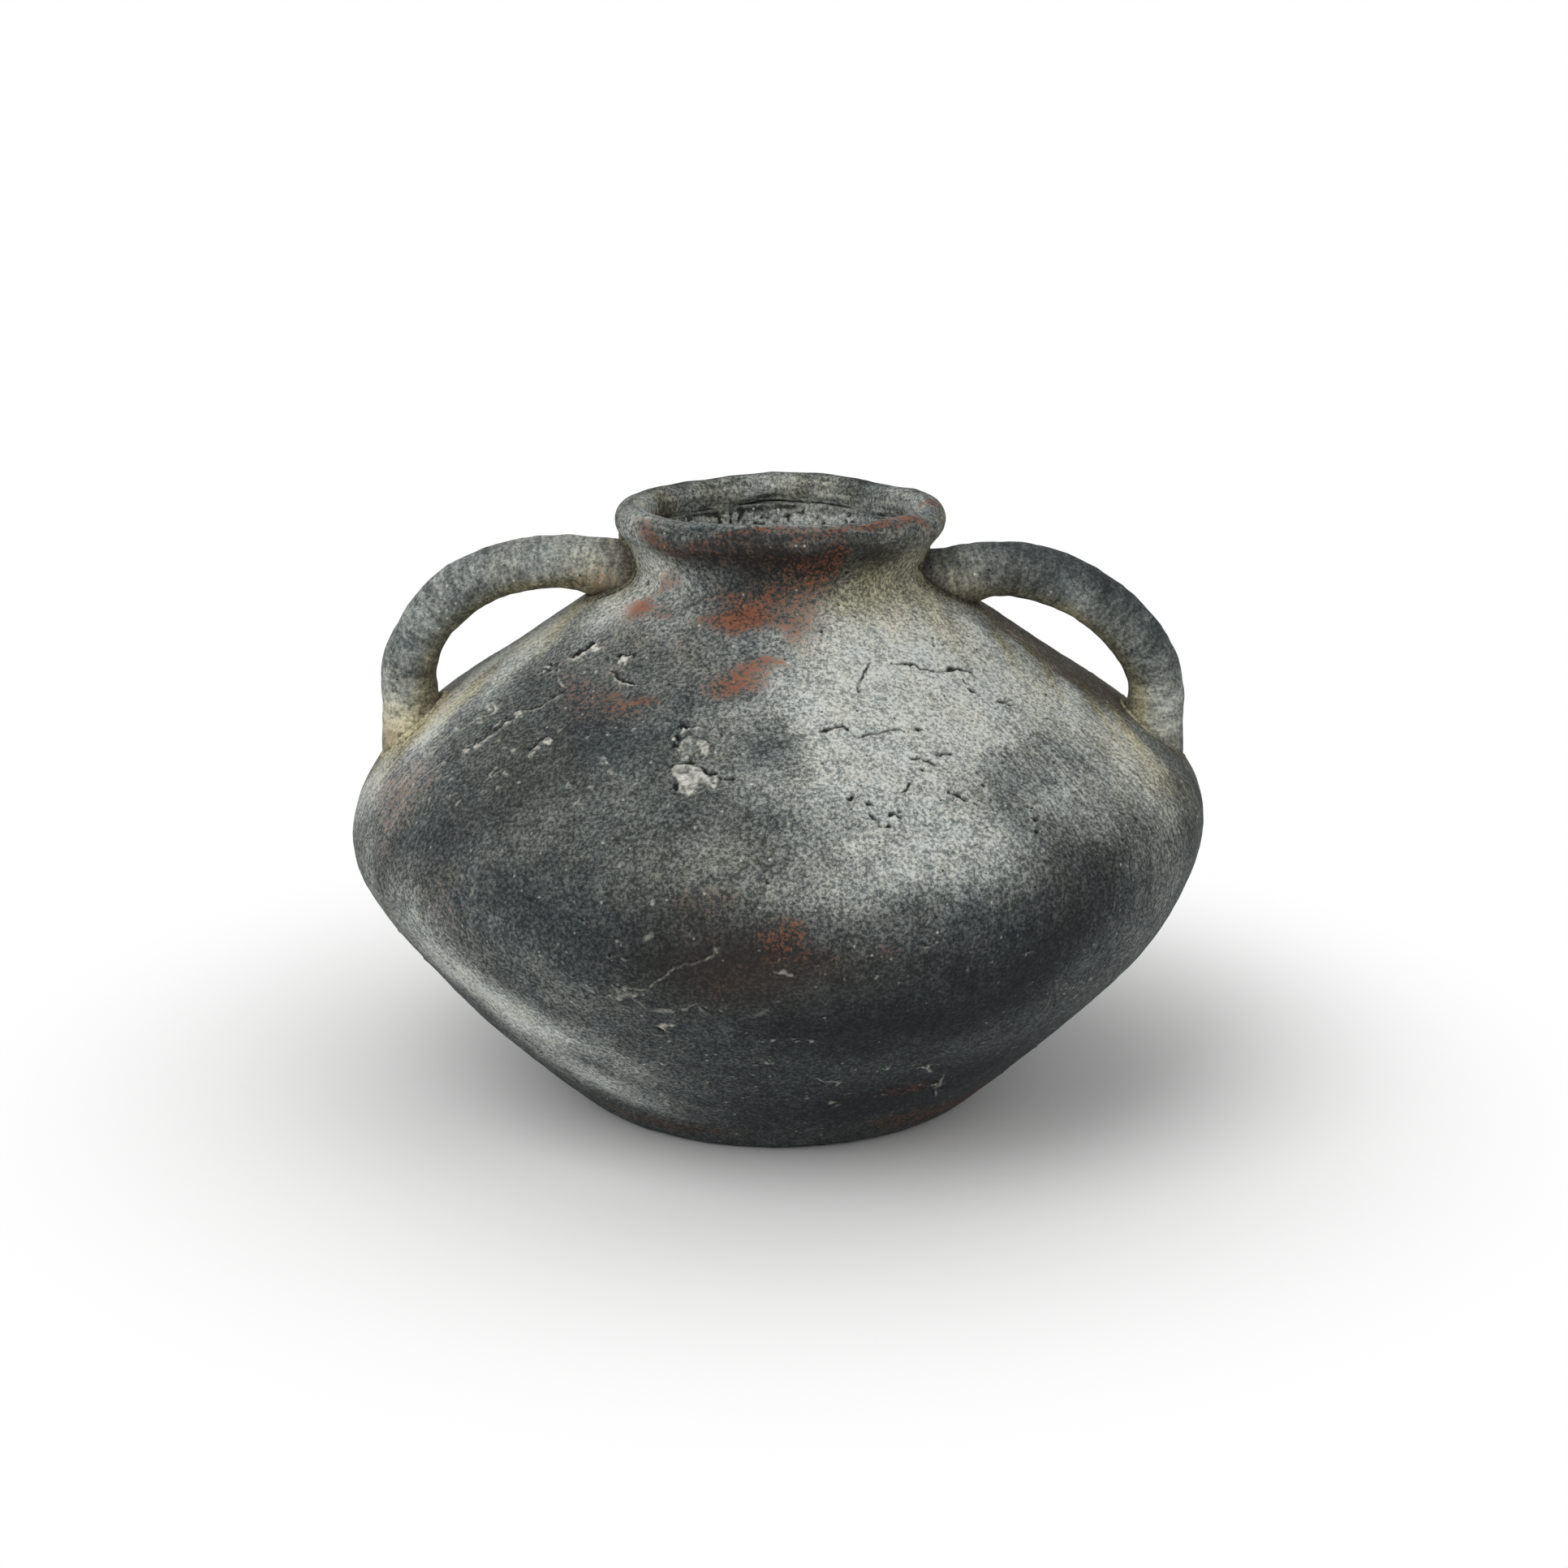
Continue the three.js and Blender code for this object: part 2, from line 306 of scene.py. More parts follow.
def shapedByHand(points):
    work = handWork
    x, y, z = points.T
    turn, radius = turnOf(points), radiusOf(points) + 1e-9
    belly = hump(z, pot["bellyHeight"], work["bellyTiltReach"])
    rim = smoothStep(*work["rimFrom"], z)
    lift = work["bellyTilt"] * belly * x / pot["bellyRadius"]
    lift = lift + rim * byAzimuth(work["rimRise"], turn)
    ripple = work["rimRipple"] * np.sin(work["rimRipples"] * turn + 1)
    push = rim * (byAzimuth(work["rimPush"], turn) + ripple)
    wave = work["wallWave"] * (smoothStep(*work["waveFrom"], z) * (1 - work["bellyHold"] * belly))
    wave = wave * layered(points, 3, *work["wallLumps"]) * np.clip(radius / work["waveRadius"], 0, 1)
    push = push + wave
    lean = work["sideLean"] * hump(z, work["sideLeanHeight"], work["sideLeanReach"])
    return np.stack([x * (1 + push / radius) + lean, y * (1 + push / radius), z + lift], axis=1)


def hitPot(x, y):  # where a sight line meets the outside before it is shaped by hand
    eye, way = sightLine(x, y)
    first, last = photo["distance"] - photo["searchBefore"], photo["distance"] + photo["searchBehind"]
    points = eye + np.arange(first, last, photo["searchStep"])[:, None] * way
    depth = outerRadius(points[:, 2]) - radiusOf(points)
    found = np.argmax(depth > 0) if (depth > 0).any() else np.argmax(depth)
    return points[found]


def onPot(x, y):  # the place on the outside that shows at a place in the photograph
    aimX, aimY = x, y
    for attempt in range(photo["searchRounds"]):
        point = hitPot(aimX, aimY)
        shownX, shownY = shownAt(shapedByHand(point[None])[0])
        aimX, aimY = aimX + x - shownX, aimY + y - shownY
    return point


# Cracks, edges of lifted plaster, pits and crumbs on the outside
# A crack is a line of places in the photograph, or of azimuths and heights at the sides and the back

crackLook = {
    "seed": 11,
    "reach": 8,
    "halfWidth": 0.40,
    "ragged": 0.4,
    "depth": 0.62,
    "deepest": 1.1,
    "lift": 0.32,  # the plaster stands up along one side of a crack
    "liftReach": 2.6,
    "edge": 0.38,  # chalk along the lifted side, partly a painted highlight
    "step": 0.7,
    "sway": 0.30,
    "sways": ((5, 1.0), (2, 0.75), (1, 0.4)),  # steps from one bend to the next, and their share
    "spacing": {"photo": 4.0, "azimuth": 1.0},  # pixels or degrees between the places of a path
    "taper": (7, 0.25),
    "slitShade": 1.8,
}
# places, width, which side is lifted (1 left of the way, -1 right, 0 none), chalk with a painted
# highlight on the lifted edge, and painted shade in the crack
cracksInFront = [
    # left shoulder
    ([(734, 790), (728, 793), (723, 799), (716, 802), (709, 806), (702, 810)], 3.6, 1, 1, 1.9),
    ([(700, 811), (695, 814)], 1.4, 1, 0.5, 1.3),
    ([(690, 816), (685, 821), (680, 825), (675, 829)], 1.6, 1, 0.4, 1.5),
    ([(682, 817), (677, 818), (672, 821)], 1.5, 1, 1, 1.7),
    ([(704, 812), (696, 816), (689, 821), (686, 829), (685, 838), (690, 843), (697, 848)], 0.8, 1, 0.55,
     0.4),
    ([(668, 872), (655, 876), (640, 876), (623, 882), (609, 895), (595, 906), (581, 916), (570, 923)], 1,
     1, 0.55, 0.8),
    ([(698, 850), (690, 854), (682, 859), (674, 865), (664, 871), (655, 876)], 1.8, 1, 0.55, 1.5),
    ([(640, 880), (625, 887), (611, 897), (597, 909), (585, 919)], 2.6, 1, 0.85, 0.7),
    ([(738, 799), (742, 806), (747, 808), (750, 815), (750, 823)], 0.6, 1, 0.5, 0.3),
    ([(752, 827), (760, 832), (768, 837), (775, 840), (783, 844)], 1, -1, 0.8, 1.5),
    ([(769, 809), (765, 806), (760, 809)], 1.4, 0, 0, 1.6),
    ([(730, 811), (725, 817), (723, 824)], 0.7, 0, 0.2, 0.8),
    # left flank
    ([(602, 868), (608, 878), (599, 882), (586, 888), (575, 894), (561, 901), (548, 912)], 1.2, 1, 0.9,
     0.4),
    ([(560, 925), (545, 938), (530, 950), (512, 965), (497, 980)], 0.6, 1, 0.6, 0.3),
    ([(673, 909), (665, 913), (658, 918), (653, 926)], 1.9, 1, 0.8, 1.1),
    ([(612, 945), (604, 951), (600, 960)], 0.9, 1, 0.4, 0.5),
    # crater
    ([(836, 900), (839, 896), (843, 893), (847, 896), (847, 899)], 1.9, -1, 0.2, 1.8),
    ([(833, 906), (836, 908), (836, 913)], 1.5, 0, 0.2, 1.7),
    ([(825, 947), (828, 944), (835, 942)], 1.7, -1, 0.5, 1.7),
    ([(837, 965), (835, 970), (834, 975)], 1.4, 1, 0.5, 1.6),
    ([(863, 944), (869, 950), (876, 955), (881, 954)], 1.3, -1, 0.4, 1.2),
    ([(888, 960), (896, 960), (903, 959)], 0.8, 0, 0.2, 0.9),
    ([(842, 942), (849, 940), (857, 942)], 1.6, -1, 0.4, 1.3),
    # right shoulder
    ([(1101, 818), (1112, 816), (1126, 816), (1138, 823), (1153, 827), (1167, 827)], 1.1, 0, 0.3, 1),
    ([(1166, 827), (1175, 824), (1183, 824), (1189, 826), (1196, 829), (1203, 835)], 2, -1, 0.3, 1.4),
    ([(1072, 815), (1065, 827), (1060, 839), (1058, 851)], 0.8, 0, 0.2, 1),
    ([(1139, 792), (1143, 786), (1150, 788), (1150, 795)], 0.7, 0, 0.3, 0.7),
    ([(1184, 836), (1192, 843), (1201, 850), (1207, 858)], 0.6, 0, 0.2, 0.6),
    # middle
    ([(1012, 903), (1015, 898), (1024, 898), (1033, 895), (1041, 895), (1045, 901)], 1.5, -1, 0.6, 1.7),
    ([(1050, 906), (1058, 909), (1066, 904), (1073, 902), (1083, 902), (1095, 900), (1112, 899),
     (1115, 903)], 1.1, -1, 0.3, 1.4),
    ([(1013, 902), (1020, 911), (1028, 926), (1034, 945), (1041, 962), (1053, 973), (1067, 981)], 0.6, 1,
     0.5, 0.3),
    ([(1122, 936), (1130, 933), (1138, 938), (1148, 939), (1154, 945)], 1.4, -1, 0.3, 1.8),
    ([(1153, 931), (1162, 929), (1174, 928)], 1.5, -1, 0.3, 1.7),
    ([(1173, 979), (1183, 981), (1188, 984), (1193, 988)], 1.7, -1, 0.7, 1.9),
    ([(1110, 976), (1117, 973), (1121, 964)], 1, 1, 0.5, 1.3),
    ([(1043, 984), (1047, 979), (1051, 984)], 1.9, -1, 0.3, 1.8),
    ([(1071, 986), (1067, 992)], 1.8, 0, 0.2, 1.7),
    ([(1096, 1006), (1101, 1002), (1107, 1006), (1111, 1009)], 1.7, -1, 0.7, 1.8),
    ([(1070, 1000), (1073, 1007), (1080, 1009), (1085, 1019)], 1, 0, 0.3, 1.3),
    # right
    ([(1232, 862), (1240, 866), (1247, 872)], 0.9, 0, 0.3, 0.9),
    ([(1250, 915), (1262, 925), (1272, 936), (1279, 948)], 0.8, -1, 0.5, 0.5),
    # lower
    ([(885, 1168), (878, 1176), (866, 1181), (850, 1187), (836, 1189), (826, 1194), (812, 1200),
     (802, 1211), (788, 1217), (769, 1215), (757, 1222), (746, 1229)], 0.6, 1, 0.34, 0.3),
    ([(760, 1222), (774, 1229), (788, 1236), (799, 1243), (812, 1246), (826, 1248), (843, 1244),
     (857, 1239), (869, 1242)], 0.6, 1, 0.38, 0.3),
    ([(850, 1147), (840, 1154), (834, 1161)], 0.5, 1, 0.34, 0.2),
    ([(863, 1240), (868, 1243), (875, 1249)], 0.7, -1, 0.4, 0.5),
    ([(810, 1264), (814, 1269), (821, 1271)], 1.9, 1, 0.6, 1.5),
    # foot
    ([(1131, 1315), (1138, 1311), (1147, 1312), (1150, 1320)], 0.9, -1, 0.45, 0.3),
    ([(1162, 1325), (1156, 1334), (1148, 1340), (1152, 1350)], 0.8, 1, 0.4, 0.3),
    ([(1004, 1329), (1012, 1334), (1022, 1333), (1030, 1337)], 0.8, 1, 0.4, 0.2),
    # lower
    ([(638, 1270), (645, 1277), (652, 1284)], 1.5, 0, 0.2, 1),
    ([(655, 1286), (662, 1293), (669, 1299)], 1.6, 0, 0.2, 1),
    ([(690, 1314), (700, 1323), (712, 1333)], 1.4, 0, 0.2, 0.9),
    # scratches
    ([(1165, 1047), (1172, 1055), (1179, 1063)], 0.5, 0, 0.1, 0.6),
    ([(1187, 1043), (1197, 1039), (1208, 1038)], 0.5, 0, 0.1, 0.6),
    ([(1164, 1095), (1172, 1105), (1182, 1115)], 0.6, 0, 0.1, 0.6),
]
slitsInFront = [  # both ends and width of each short slit
    ((748, 786), (743, 789), 1.2), ((726, 783), (720, 785), 1.3), ((830, 915), (830, 921), 2.0),
    ((879, 953), (885, 953), 1.9), ((886, 957), (889, 961), 1.6), ((903, 956), (902, 962), 1.2),
    ((833, 977), (832, 980), 1.0), ((1127, 898), (1137, 898), 1.4), ((1192, 848), (1202, 853), 1.4),
    ((1186, 836), (1192, 843), 0.8), ((1228, 864), (1240, 864), 0.9), ((1233, 928), (1241, 935), 0.9),
    ((1167, 976), (1172, 977), 1.5), ((1200, 989), (1207, 993), 1.0), ((1091, 1019), (1099, 1018), 1.5),
    ((1272, 1008), (1279, 1011), 1.6), ((1274, 1023), (1280, 1026), 1.2),
    ((1195, 1019), (1199, 1021), 1.0), ((1140, 787), (1143, 790), 1.5),
    ((1148, 794), (1152, 797), 1.3), ((1240, 866), (1247, 869), 1.2),
]
cracksBehind = [
    # back
    ([(150, 126), (156, 123), (161, 124), (167, 119), (173, 116), (176, 111), (183, 110), (189, 112),
     (194, 108), (199, 103)], 0.8, 1, 0.6, 0.8),
    ([(173, 116), (175, 121), (180, 124), (182, 128)], 0.6, -1, 0.5, 0.6),
    ([(212, 96), (216, 99), (222, 98), (226, 94), (231, 93), (233, 88), (229, 84)], 0.8, 1, 0.6, 0.7),
    ([(165, 60), (170, 57), (175, 58), (181, 53), (187, 52), (191, 48)], 0.8, 1, 0.5, 0.4),
    ([(142, 92), (146, 90), (150, 91)], 1, 0, 0.4, 0.9),
    # left side
    ([(-112, 118), (-109, 114), (-111, 109), (-106, 105), (-101, 101), (-100, 96), (-95, 93)], 0.8, 1,
     0.6, 0.7),
    ([(-100, 52), (-95, 49), (-91, 50), (-86, 45)], 0.8, 1, 0.5, 0.4),
    ([(-80, 74), (-77, 71), (-73, 72)], 0.8, 0, 0.4, 0.8),
    # right side
    ([(103, 113), (108, 110), (111, 105), (116, 104), (120, 99), (126, 98)], 0.8, -1, 0.6, 0.7),
    ([(84, 58), (89, 55), (93, 56), (98, 51)], 0.8, 1, 0.5, 0.4),
    ([(96, 88), (99, 85), (103, 86)], 0.9, 0, 0.4, 0.8),
]
# place in the photograph and radius of each pit and each crumb
pitsInFront = [
    (1132, 899, 0.5), (1212, 968, 0.7), (641, 1273, 0.8), (1204, 951, 0.6), (1061, 968, 0.5),
    (557, 1191, 0.9), (700, 1323, 0.9), (658, 930, 0.6), (868, 747, 0.7), (1012, 778, 0.6),
    (1160, 700, 0.5), (1152, 1334, 0.8), (612, 950, 0.7), (946, 1088, 0.5), (1236, 940, 0.6),
    (1058, 851, 0.6), (1110, 1000, 0.5), (1137, 950, 0.5), (1254, 800, 0.5), (1164, 857, 0.6),
]
crumbsInFront = [
    (671, 828, 0.7), (676, 823, 0.7), (771, 814, 1.4), (724, 909, 0.7), (743, 935, 0.8), (754, 953, 0.7),
    (730, 970, 0.8), (831, 911, 0.7), (843, 900, 0.8), (804, 1112, 0.7), (799, 1155, 0.6),
    (760, 1160, 0.6), (720, 829, 0.6), (735, 828, 0.6), (723, 788, 0.6), (1103, 1009, 0.6),
    (1185, 992, 0.9), (730, 1222, 0.7), (704, 1234, 0.6), (817, 1310, 0.8), (823, 1360, 0.9),
    (952, 1281, 0.7), (945, 1310, 0.7), (564, 990, 0.9), (530, 985, 0.7), (700, 968, 0.8),
    (711, 990, 0.8), (1024, 1358, 0.9), (1092, 1316, 0.7), (1000, 1283, 0.6), (1079, 1205, 0.6),
    (640, 965, 0.7), (611, 947, 0.9), (622, 953, 0.7), (633, 925, 0.7), (624, 922, 0.7), (615, 913, 0.7),
    (547, 942, 0.9), (556, 960, 0.7), (595, 975, 0.7), (614, 971, 0.8), (1297, 838, 0.9),
    (888, 1245, 0.7), (938, 1250, 0.7), (905, 1247, 0.6), (752, 950, 0.7), (690, 900, 0.6),
    (780, 900, 0.6), (965, 1197, 0.9), (974, 1201, 0.8), (770, 1217, 0.9), (762, 1230, 1),
    (882, 1170, 0.7),
]
brightCrumbs = [(671, 828), (676, 823), (771, 814), (831, 911), (843, 900)]
# place, half width, half height and thickness of each flake of raised plaster, chalk on it
flakesInFront = [
    (859, 898, 1, 0.8, 0.3, 0.5), (733, 799, 1.9, 1.5, 0.35, 1.4), (726, 803, 1.4, 0.8, 0.3, 1),
    (716, 807, 1.5, 0.6, 0.2, 0.7), (640, 881, 1.8, 0.9, 0.5, 0.7), (603, 872, 2, 1.4, 0.4, 0.6),
    (592, 889, 2.6, 0.9, 0.4, 0.6), (563, 900, 1.9, 0.7, 0.4, 0.6), (590, 921, 1.6, 1.1, 0.5, 0.65),
    (574, 926, 1.5, 0.8, 0.5, 0.75), (676, 914, 1.2, 1, 0.5, 0.7), (660, 922, 1.2, 0.8, 0.5, 0.6),
    (655, 930, 1, 1, 0.4, 0.5), (818, 1263, 1.4, 0.8, 0.5, 0.5), (828, 1264, 1.3, 0.9, 0.5, 0.45),
    (1142, 983, 3.2, 1.8, 0.3, 0.25), (1180, 988, 1.8, 1.1, 0.3, 0.5), (1141, 1314, 2.2, 0.8, 0.4, 0.3),
    (1092, 1316, 1.3, 0.9, 0.5, 0.28), (1156, 1336, 1.4, 1.8, 0.4, 0.24), (784, 1225, 2.4, 0.8, 0.3, 0.3),
    (765, 1222, 2.2, 1.4, 0.5, 0.34), (1021, 902, 1.6, 0.7, 0.4, 0.5),
]
# outline, thickness and chalk of each larger plate of raised plaster
platesInFront = [
    ([(827, 950), (836, 944), (842, 943), (856, 945), (862, 948), (869, 953), (876, 959), (882, 957),
        (885, 964), (881, 973), (873, 969), (868, 965), (860, 966), (857, 969), (857, 977), (849, 982),
        (843, 980), (837, 974), (838, 967), (830, 960)], 0.55, 0.62),
    ([(857, 914), (861, 911), (870, 912), (873, 918), (873, 931), (865, 931), (864, 924), (857, 921)],
        0.5, 0.62),
    ([(838, 925), (836, 917), (843, 909), (850, 907), (855, 911), (853, 925), (846, 936), (838, 936)],
        0.25, 0.34),
]
flakesBehind = [
    (168, 112, 3.6, 2.8, 0.9, 0.55), (172, 107, 2.6, 2, 0.8, 0.5), (226, 90, 3.6, 2.4, 0.8, 0.5),
    (-105, 98, 2.8, 2.2, 0.7, 0.5), (112, 101, 2.8, 2.2, 0.7, 0.5), (183, 52, 3.2, 1.8, 0.6, 0.4),
    (-92, 47, 2.6, 1.6, 0.6, 0.4), (140, 84, 2.6, 1.6, 0.6, 0.4), (-150, 76, 2.8, 1.8, 0.6, 0.4),
]
# plates get a painted highlight round their rim and a painted shadow above; flakes a painted shadow on
# one side
plateLook = {"ragged": 0.4, "rim": 0.3, "paintedShade": 0.7, "margin": 2}
flakeLook = {"ragged": 0.55, "edge": 0.16, "paintedShade": 0.8, "reach": 1.9}
dotLook = {
    "ragged": 0.8, "pitReach": 2.4, "pitDepth": 0.7, "pitRim": 0.15,
    "crumbReach": 2.2, "crumbHeight": 0.45, "crumbShade": 1.2,
    "lipAt": 1.35,  # the raised lip of a pit and the painted shadow beside a crumb, in radii
    "undercut": 70,  # chips above this height get their painted shadow at the top, those below it at the foot
}
scatter = {
    "seed": 41,
    "pits": 130,
    "crumbs": 90,
    "pitRadius": (0.28, 0.6),
    "crumbRadius": (0.3, 0.55),
    "heights": (9, 154),
    "turns": (-176, 176),
    "chalkAndHighlight": 0.3,
    "frontRidge": 0.6,
    "brightCrumb": 1.1,
    "dimCrumb": 0.42,
}


def surfaceNormal(point):
    return localFrame(point)[2]


def crackPath(places, place, step, rng):  # follows the places with a broken, wandering line
    line = evenly(np.array([place(*p) for p in places], float), step)
    rows = np.arange(len(line))
    sway = np.zeros((len(line), 2))
    for size, share in crackLook["sways"]:
        knots = rng.normal(0, 1, (len(line) // size + 3, 2))
        sway += share * sampled(knots, rows / size)
    sway *= np.clip(np.minimum(rows, rows[::-1]) / 2, 0, 1)[:, None] * crackLook["sway"]
    for index, point in enumerate(line):
        right, up, out = localFrame(point)
        line[index] = point + right * sway[index, 0] + up * sway[index, 1]
    return line


def makeCracks():
    rng = np.random.default_rng(crackLook["seed"])
    spacing, (steepness, narrowest) = crackLook["spacing"], crackLook["taper"]
    slits = [([start, end], width, 0, 0, crackLook["slitShade"]) for start, end, width in slitsInFront]
    made = []
    for group, place, every in (
        (cracksInFront, onPot, spacing["photo"]), (slits, onPot, spacing["photo"]),
        (cracksBehind, atPot, spacing["azimuth"]),
    ):
        for places, width, side, chalkShare, paintedShade in group:
            line = crackPath(evenly(np.array(places, float), every), place, crackLook["step"], rng)
            share = np.linspace(0, 1, len(line))
            taper = np.minimum(1, np.minimum(share, 1 - share) * steepness + narrowest)
            widths = width * taper * (0.75 + 0.5 * rng.random(len(line)))
            made.append({"line": line, "width": widths, "side": side, "chalk": chalkShare, "paintedShade": paintedShade})
    return made


def crumbChalk(x, y):
    return scatter["brightCrumb"] if (x, y) in brightCrumbs else scatter["dimCrumb"]


def makeDots():
    rng = np.random.default_rng(scatter["seed"])
    pits = [(onPot(x, y), radius, scatter["frontRidge"]) for x, y, radius in pitsInFront]
    crumbs = [(onPot(x, y), radius, crumbChalk(x, y)) for x, y, radius in crumbsInFront]
    for count, sizes, found in (
        (scatter["pits"], scatter["pitRadius"], pits),
        (scatter["crumbs"], scatter["crumbRadius"], crumbs),
    ):
        heights = rng.uniform(*scatter["heights"], count)
        turns = rng.uniform(*scatter["turns"], count)
        radii = rng.uniform(*sizes, count)
        for height, turn, radius in zip(heights, turns, radii):
            if rng.random() < float(outerRadius(height)) / pot["bellyRadius"]:
                found.append((atPot(turn, height), radius, scatter["chalkAndHighlight"]))
    return pits, crumbs


cracks = makeCracks()
pits, crumbs = makeDots()
flakes = [(onPot(x, y), *rest) for x, y, *rest in flakesInFront]
flakes += [(atPot(azimuth, height), *rest) for azimuth, height, *rest in flakesBehind]
plates = [(np.array([onPot(*corner) for corner in outline]), *rest) for outline, *rest in platesInFront]
print(f"{len(cracks)} cracks, {len(pits)} pits and {len(crumbs)} crumbs placed")


def fromSegment(points, start, end, least=0):  # share of the segment, and the way from there to a point
    along = end - start
    share = np.clip((points - start) @ along / (along @ along + least), 0, 1)
    return share, points - start - share[:, None] * along


def nearestOnLine(points, line):  # distance, place along the line, and side of the line, per point
    best = np.full(len(points), 1e9)
    place = np.zeros(len(points))
    side = np.ones(len(points))
    for index, (start, end) in enumerate(zip(line[:-1], line[1:])):
        share, away = fromSegment(points, start, end, 1e-12)
        distance = np.linalg.norm(away, axis=1)
        closer = distance < best
        best[closer] = distance[closer]
        place[closer] = (index + share)[closer]
        left = np.cross(surfaceNormal(start), end - start)
        side[closer] = np.sign(away @ left + 1e-9)[closer]
    return best, place, side


def lineDistance(points, starts, ends):
    nearest = np.full(len(points), 1e9)
    for start, end in zip(starts, ends):
        nearest = np.minimum(nearest, np.linalg.norm(fromSegment(points, start, end)[1], axis=1))
    return nearest


def outlineDistance(flat, outline):  # to a closed outline, less than nothing within it
    ends = np.roll(outline, -1, axis=0)
    within = np.zeros(len(flat), bool)
    for start, end in zip(outline, ends):
        along = end - start
        crosses = (start[1] > flat[:, 1]) != (end[1] > flat[:, 1])
        reached = start[0] + (flat[:, 1] - start[1]) / (along[1] + 1e-12) * along[0]
        within ^= crosses & (flat[:, 0] < reached)
    nearest = lineDistance(flat, outline, ends)
    return np.where(within, -nearest, nearest)


def nearBy(points, centre, reach):
    return np.where((np.abs(points - centre) < reach).all(axis=1))[0]


def inBox(points, line, reach):
    return ((points > line.min(0) - reach) & (points < line.max(0) + reach)).all(axis=1)


def atLeast(field, near, values):
    field[near] = np.maximum(field[near], values)


def bell(value, middle, width):
    return np.exp(-((value - middle) / width) ** 2)


def addCracks(points, ragged, rise, hollow, chalkAndHighlight):
    look = crackLook
    paintedShadeShare = 0.55 + 0.45 * smoothStep(-0.4, 0.15, lumps(points, 3.5, 22))
    chalkShare = 0.25 + 0.75 * smoothStep(-0.35, 0.3, lumps(points, 1.7, 23))
    for crack in cracks:
        line = crack["line"]
        near = np.where(inBox(points, line, look["reach"]))[0]
        if not len(near):
            continue
        distance, place, side = nearestOnLine(points[near], line)
        width = np.interp(place, np.arange(len(line)), crack["width"])
        half = look["halfWidth"] * width * (1 + look["ragged"] * ragged[near])
        depth = look["depth"] * np.minimum(width, 1.5) * min(0.3 + 0.7 * crack["paintedShade"], look["deepest"])
        rise[near] -= depth * np.exp(-(distance / half) ** 2)
        # painted shade in the crack
        paintedShade = crack["paintedShade"] * paintedShadeShare[near] * np.exp(-(distance / half) ** 4)
        atLeast(hollow, near, np.clip(paintedShade, 0, 1))
        if crack["side"]:
            raised = np.clip(side * crack["side"], 0, 1) * (distance > half * 0.6)
            fade = np.exp(-np.maximum(distance - half, 0) / look["liftReach"])
            rise[near] += look["lift"] * np.minimum(width, 1.4) * raised * fade
            # chalk, partly a painted highlight, along the lifted edge
            edgeWidth = look["edge"] * (0.45 + 0.45 * width)
            edge = np.exp(-((distance - half - edgeWidth) / edgeWidth) ** 2) * raised * chalkShare[near]
            atLeast(chalkAndHighlight, near, crack["chalk"] * edge)


def addPlates(points, rise, hollow, chalkAndHighlight):
    for corners, thickness, chalkAmount in plates:
        centre = corners.mean(axis=0)
        near = nearBy(points, centre, np.abs(corners - centre).max() + plateLook["margin"])
        if not len(near):
            continue
        right, up, out = localFrame(centre)
        here, away = points[near], points[near] - centre
        flat = np.stack([away @ right, away @ up], axis=1)
        outline = np.stack([(corners - centre) @ right, (corners - centre) @ up], axis=1)
        distance = outlineDistance(flat, outline)
        distance += plateLook["ragged"] * layered(here, 24, (1.5, 1), (0.7, 0.7))
        within = 1 - smoothStep(-0.35, 0.2, distance)
        rise[near] += thickness * within * (0.7 + 0.5 * lumps(here, 1.6, 26))
        patchy = 0.85 + 0.9 * lumps(here, 0.9, 27) + 0.4 * lumps(here, 2.0, 29)
        # a painted highlight round the plate's rim
        patchy += plateLook["rim"] * bell(distance, -0.5, 0.3)
        atLeast(chalkAndHighlight, near, chalkAmount * within * np.clip(patchy, 0.15, 1.5))
        # a painted shadow above the plate
        above = smoothStep(-0.2, 1.5, flat[:, 1]) * smoothStep(-0.3, 0.2, lumps(here, 2, 30))
        atLeast(hollow, near, plateLook["paintedShade"] * above * bell(distance, 0.45, 0.25))


def addFlakes(points, rise, hollow, chalkAndHighlight):
    for centre, halfWidth, halfHeight, thickness, chalkAmount in flakes:
        near = nearBy(points, centre, max(halfWidth, halfHeight) * flakeLook["reach"])
        if not len(near):
            continue
        right, up, out = localFrame(centre)
        here, away = points[near], points[near] - centre
        across, along = away @ right / halfWidth, away @ up / halfHeight
        distance = np.hypot(across, along) + flakeLook["ragged"] * layered(here, 24, (1.7, 1), (0.8, 1))
        within = 1 - smoothStep(0.84, 1.04, distance)
        rough = 0.7 + 0.3 * lumps(here, 1.6, 26) + 0.5 * lumps(here, 0.8, 28)
        rise[near] += thickness * within * rough
        patchy = 0.9 + 1.2 * lumps(here, 0.7, 27) + 0.5 * lumps(here, 1.6, 29)
        atLeast(chalkAndHighlight, near, chalkAmount * within * np.clip(patchy, 0.2, 1.25))
        # a painted shadow along one side of the flake
        upwards = 1 if centre[2] > dotLook["undercut"] else -1
        shade = smoothStep(0.0, 0.8, upwards * along * 0.8 - across * 0.5)
        shade = shade * smoothStep(-0.35, 0.15, lumps(here, 1.8, 30))
        atLeast(hollow, near, flakeLook["paintedShade"] * shade * bell(distance, 1.14, flakeLook["edge"]))


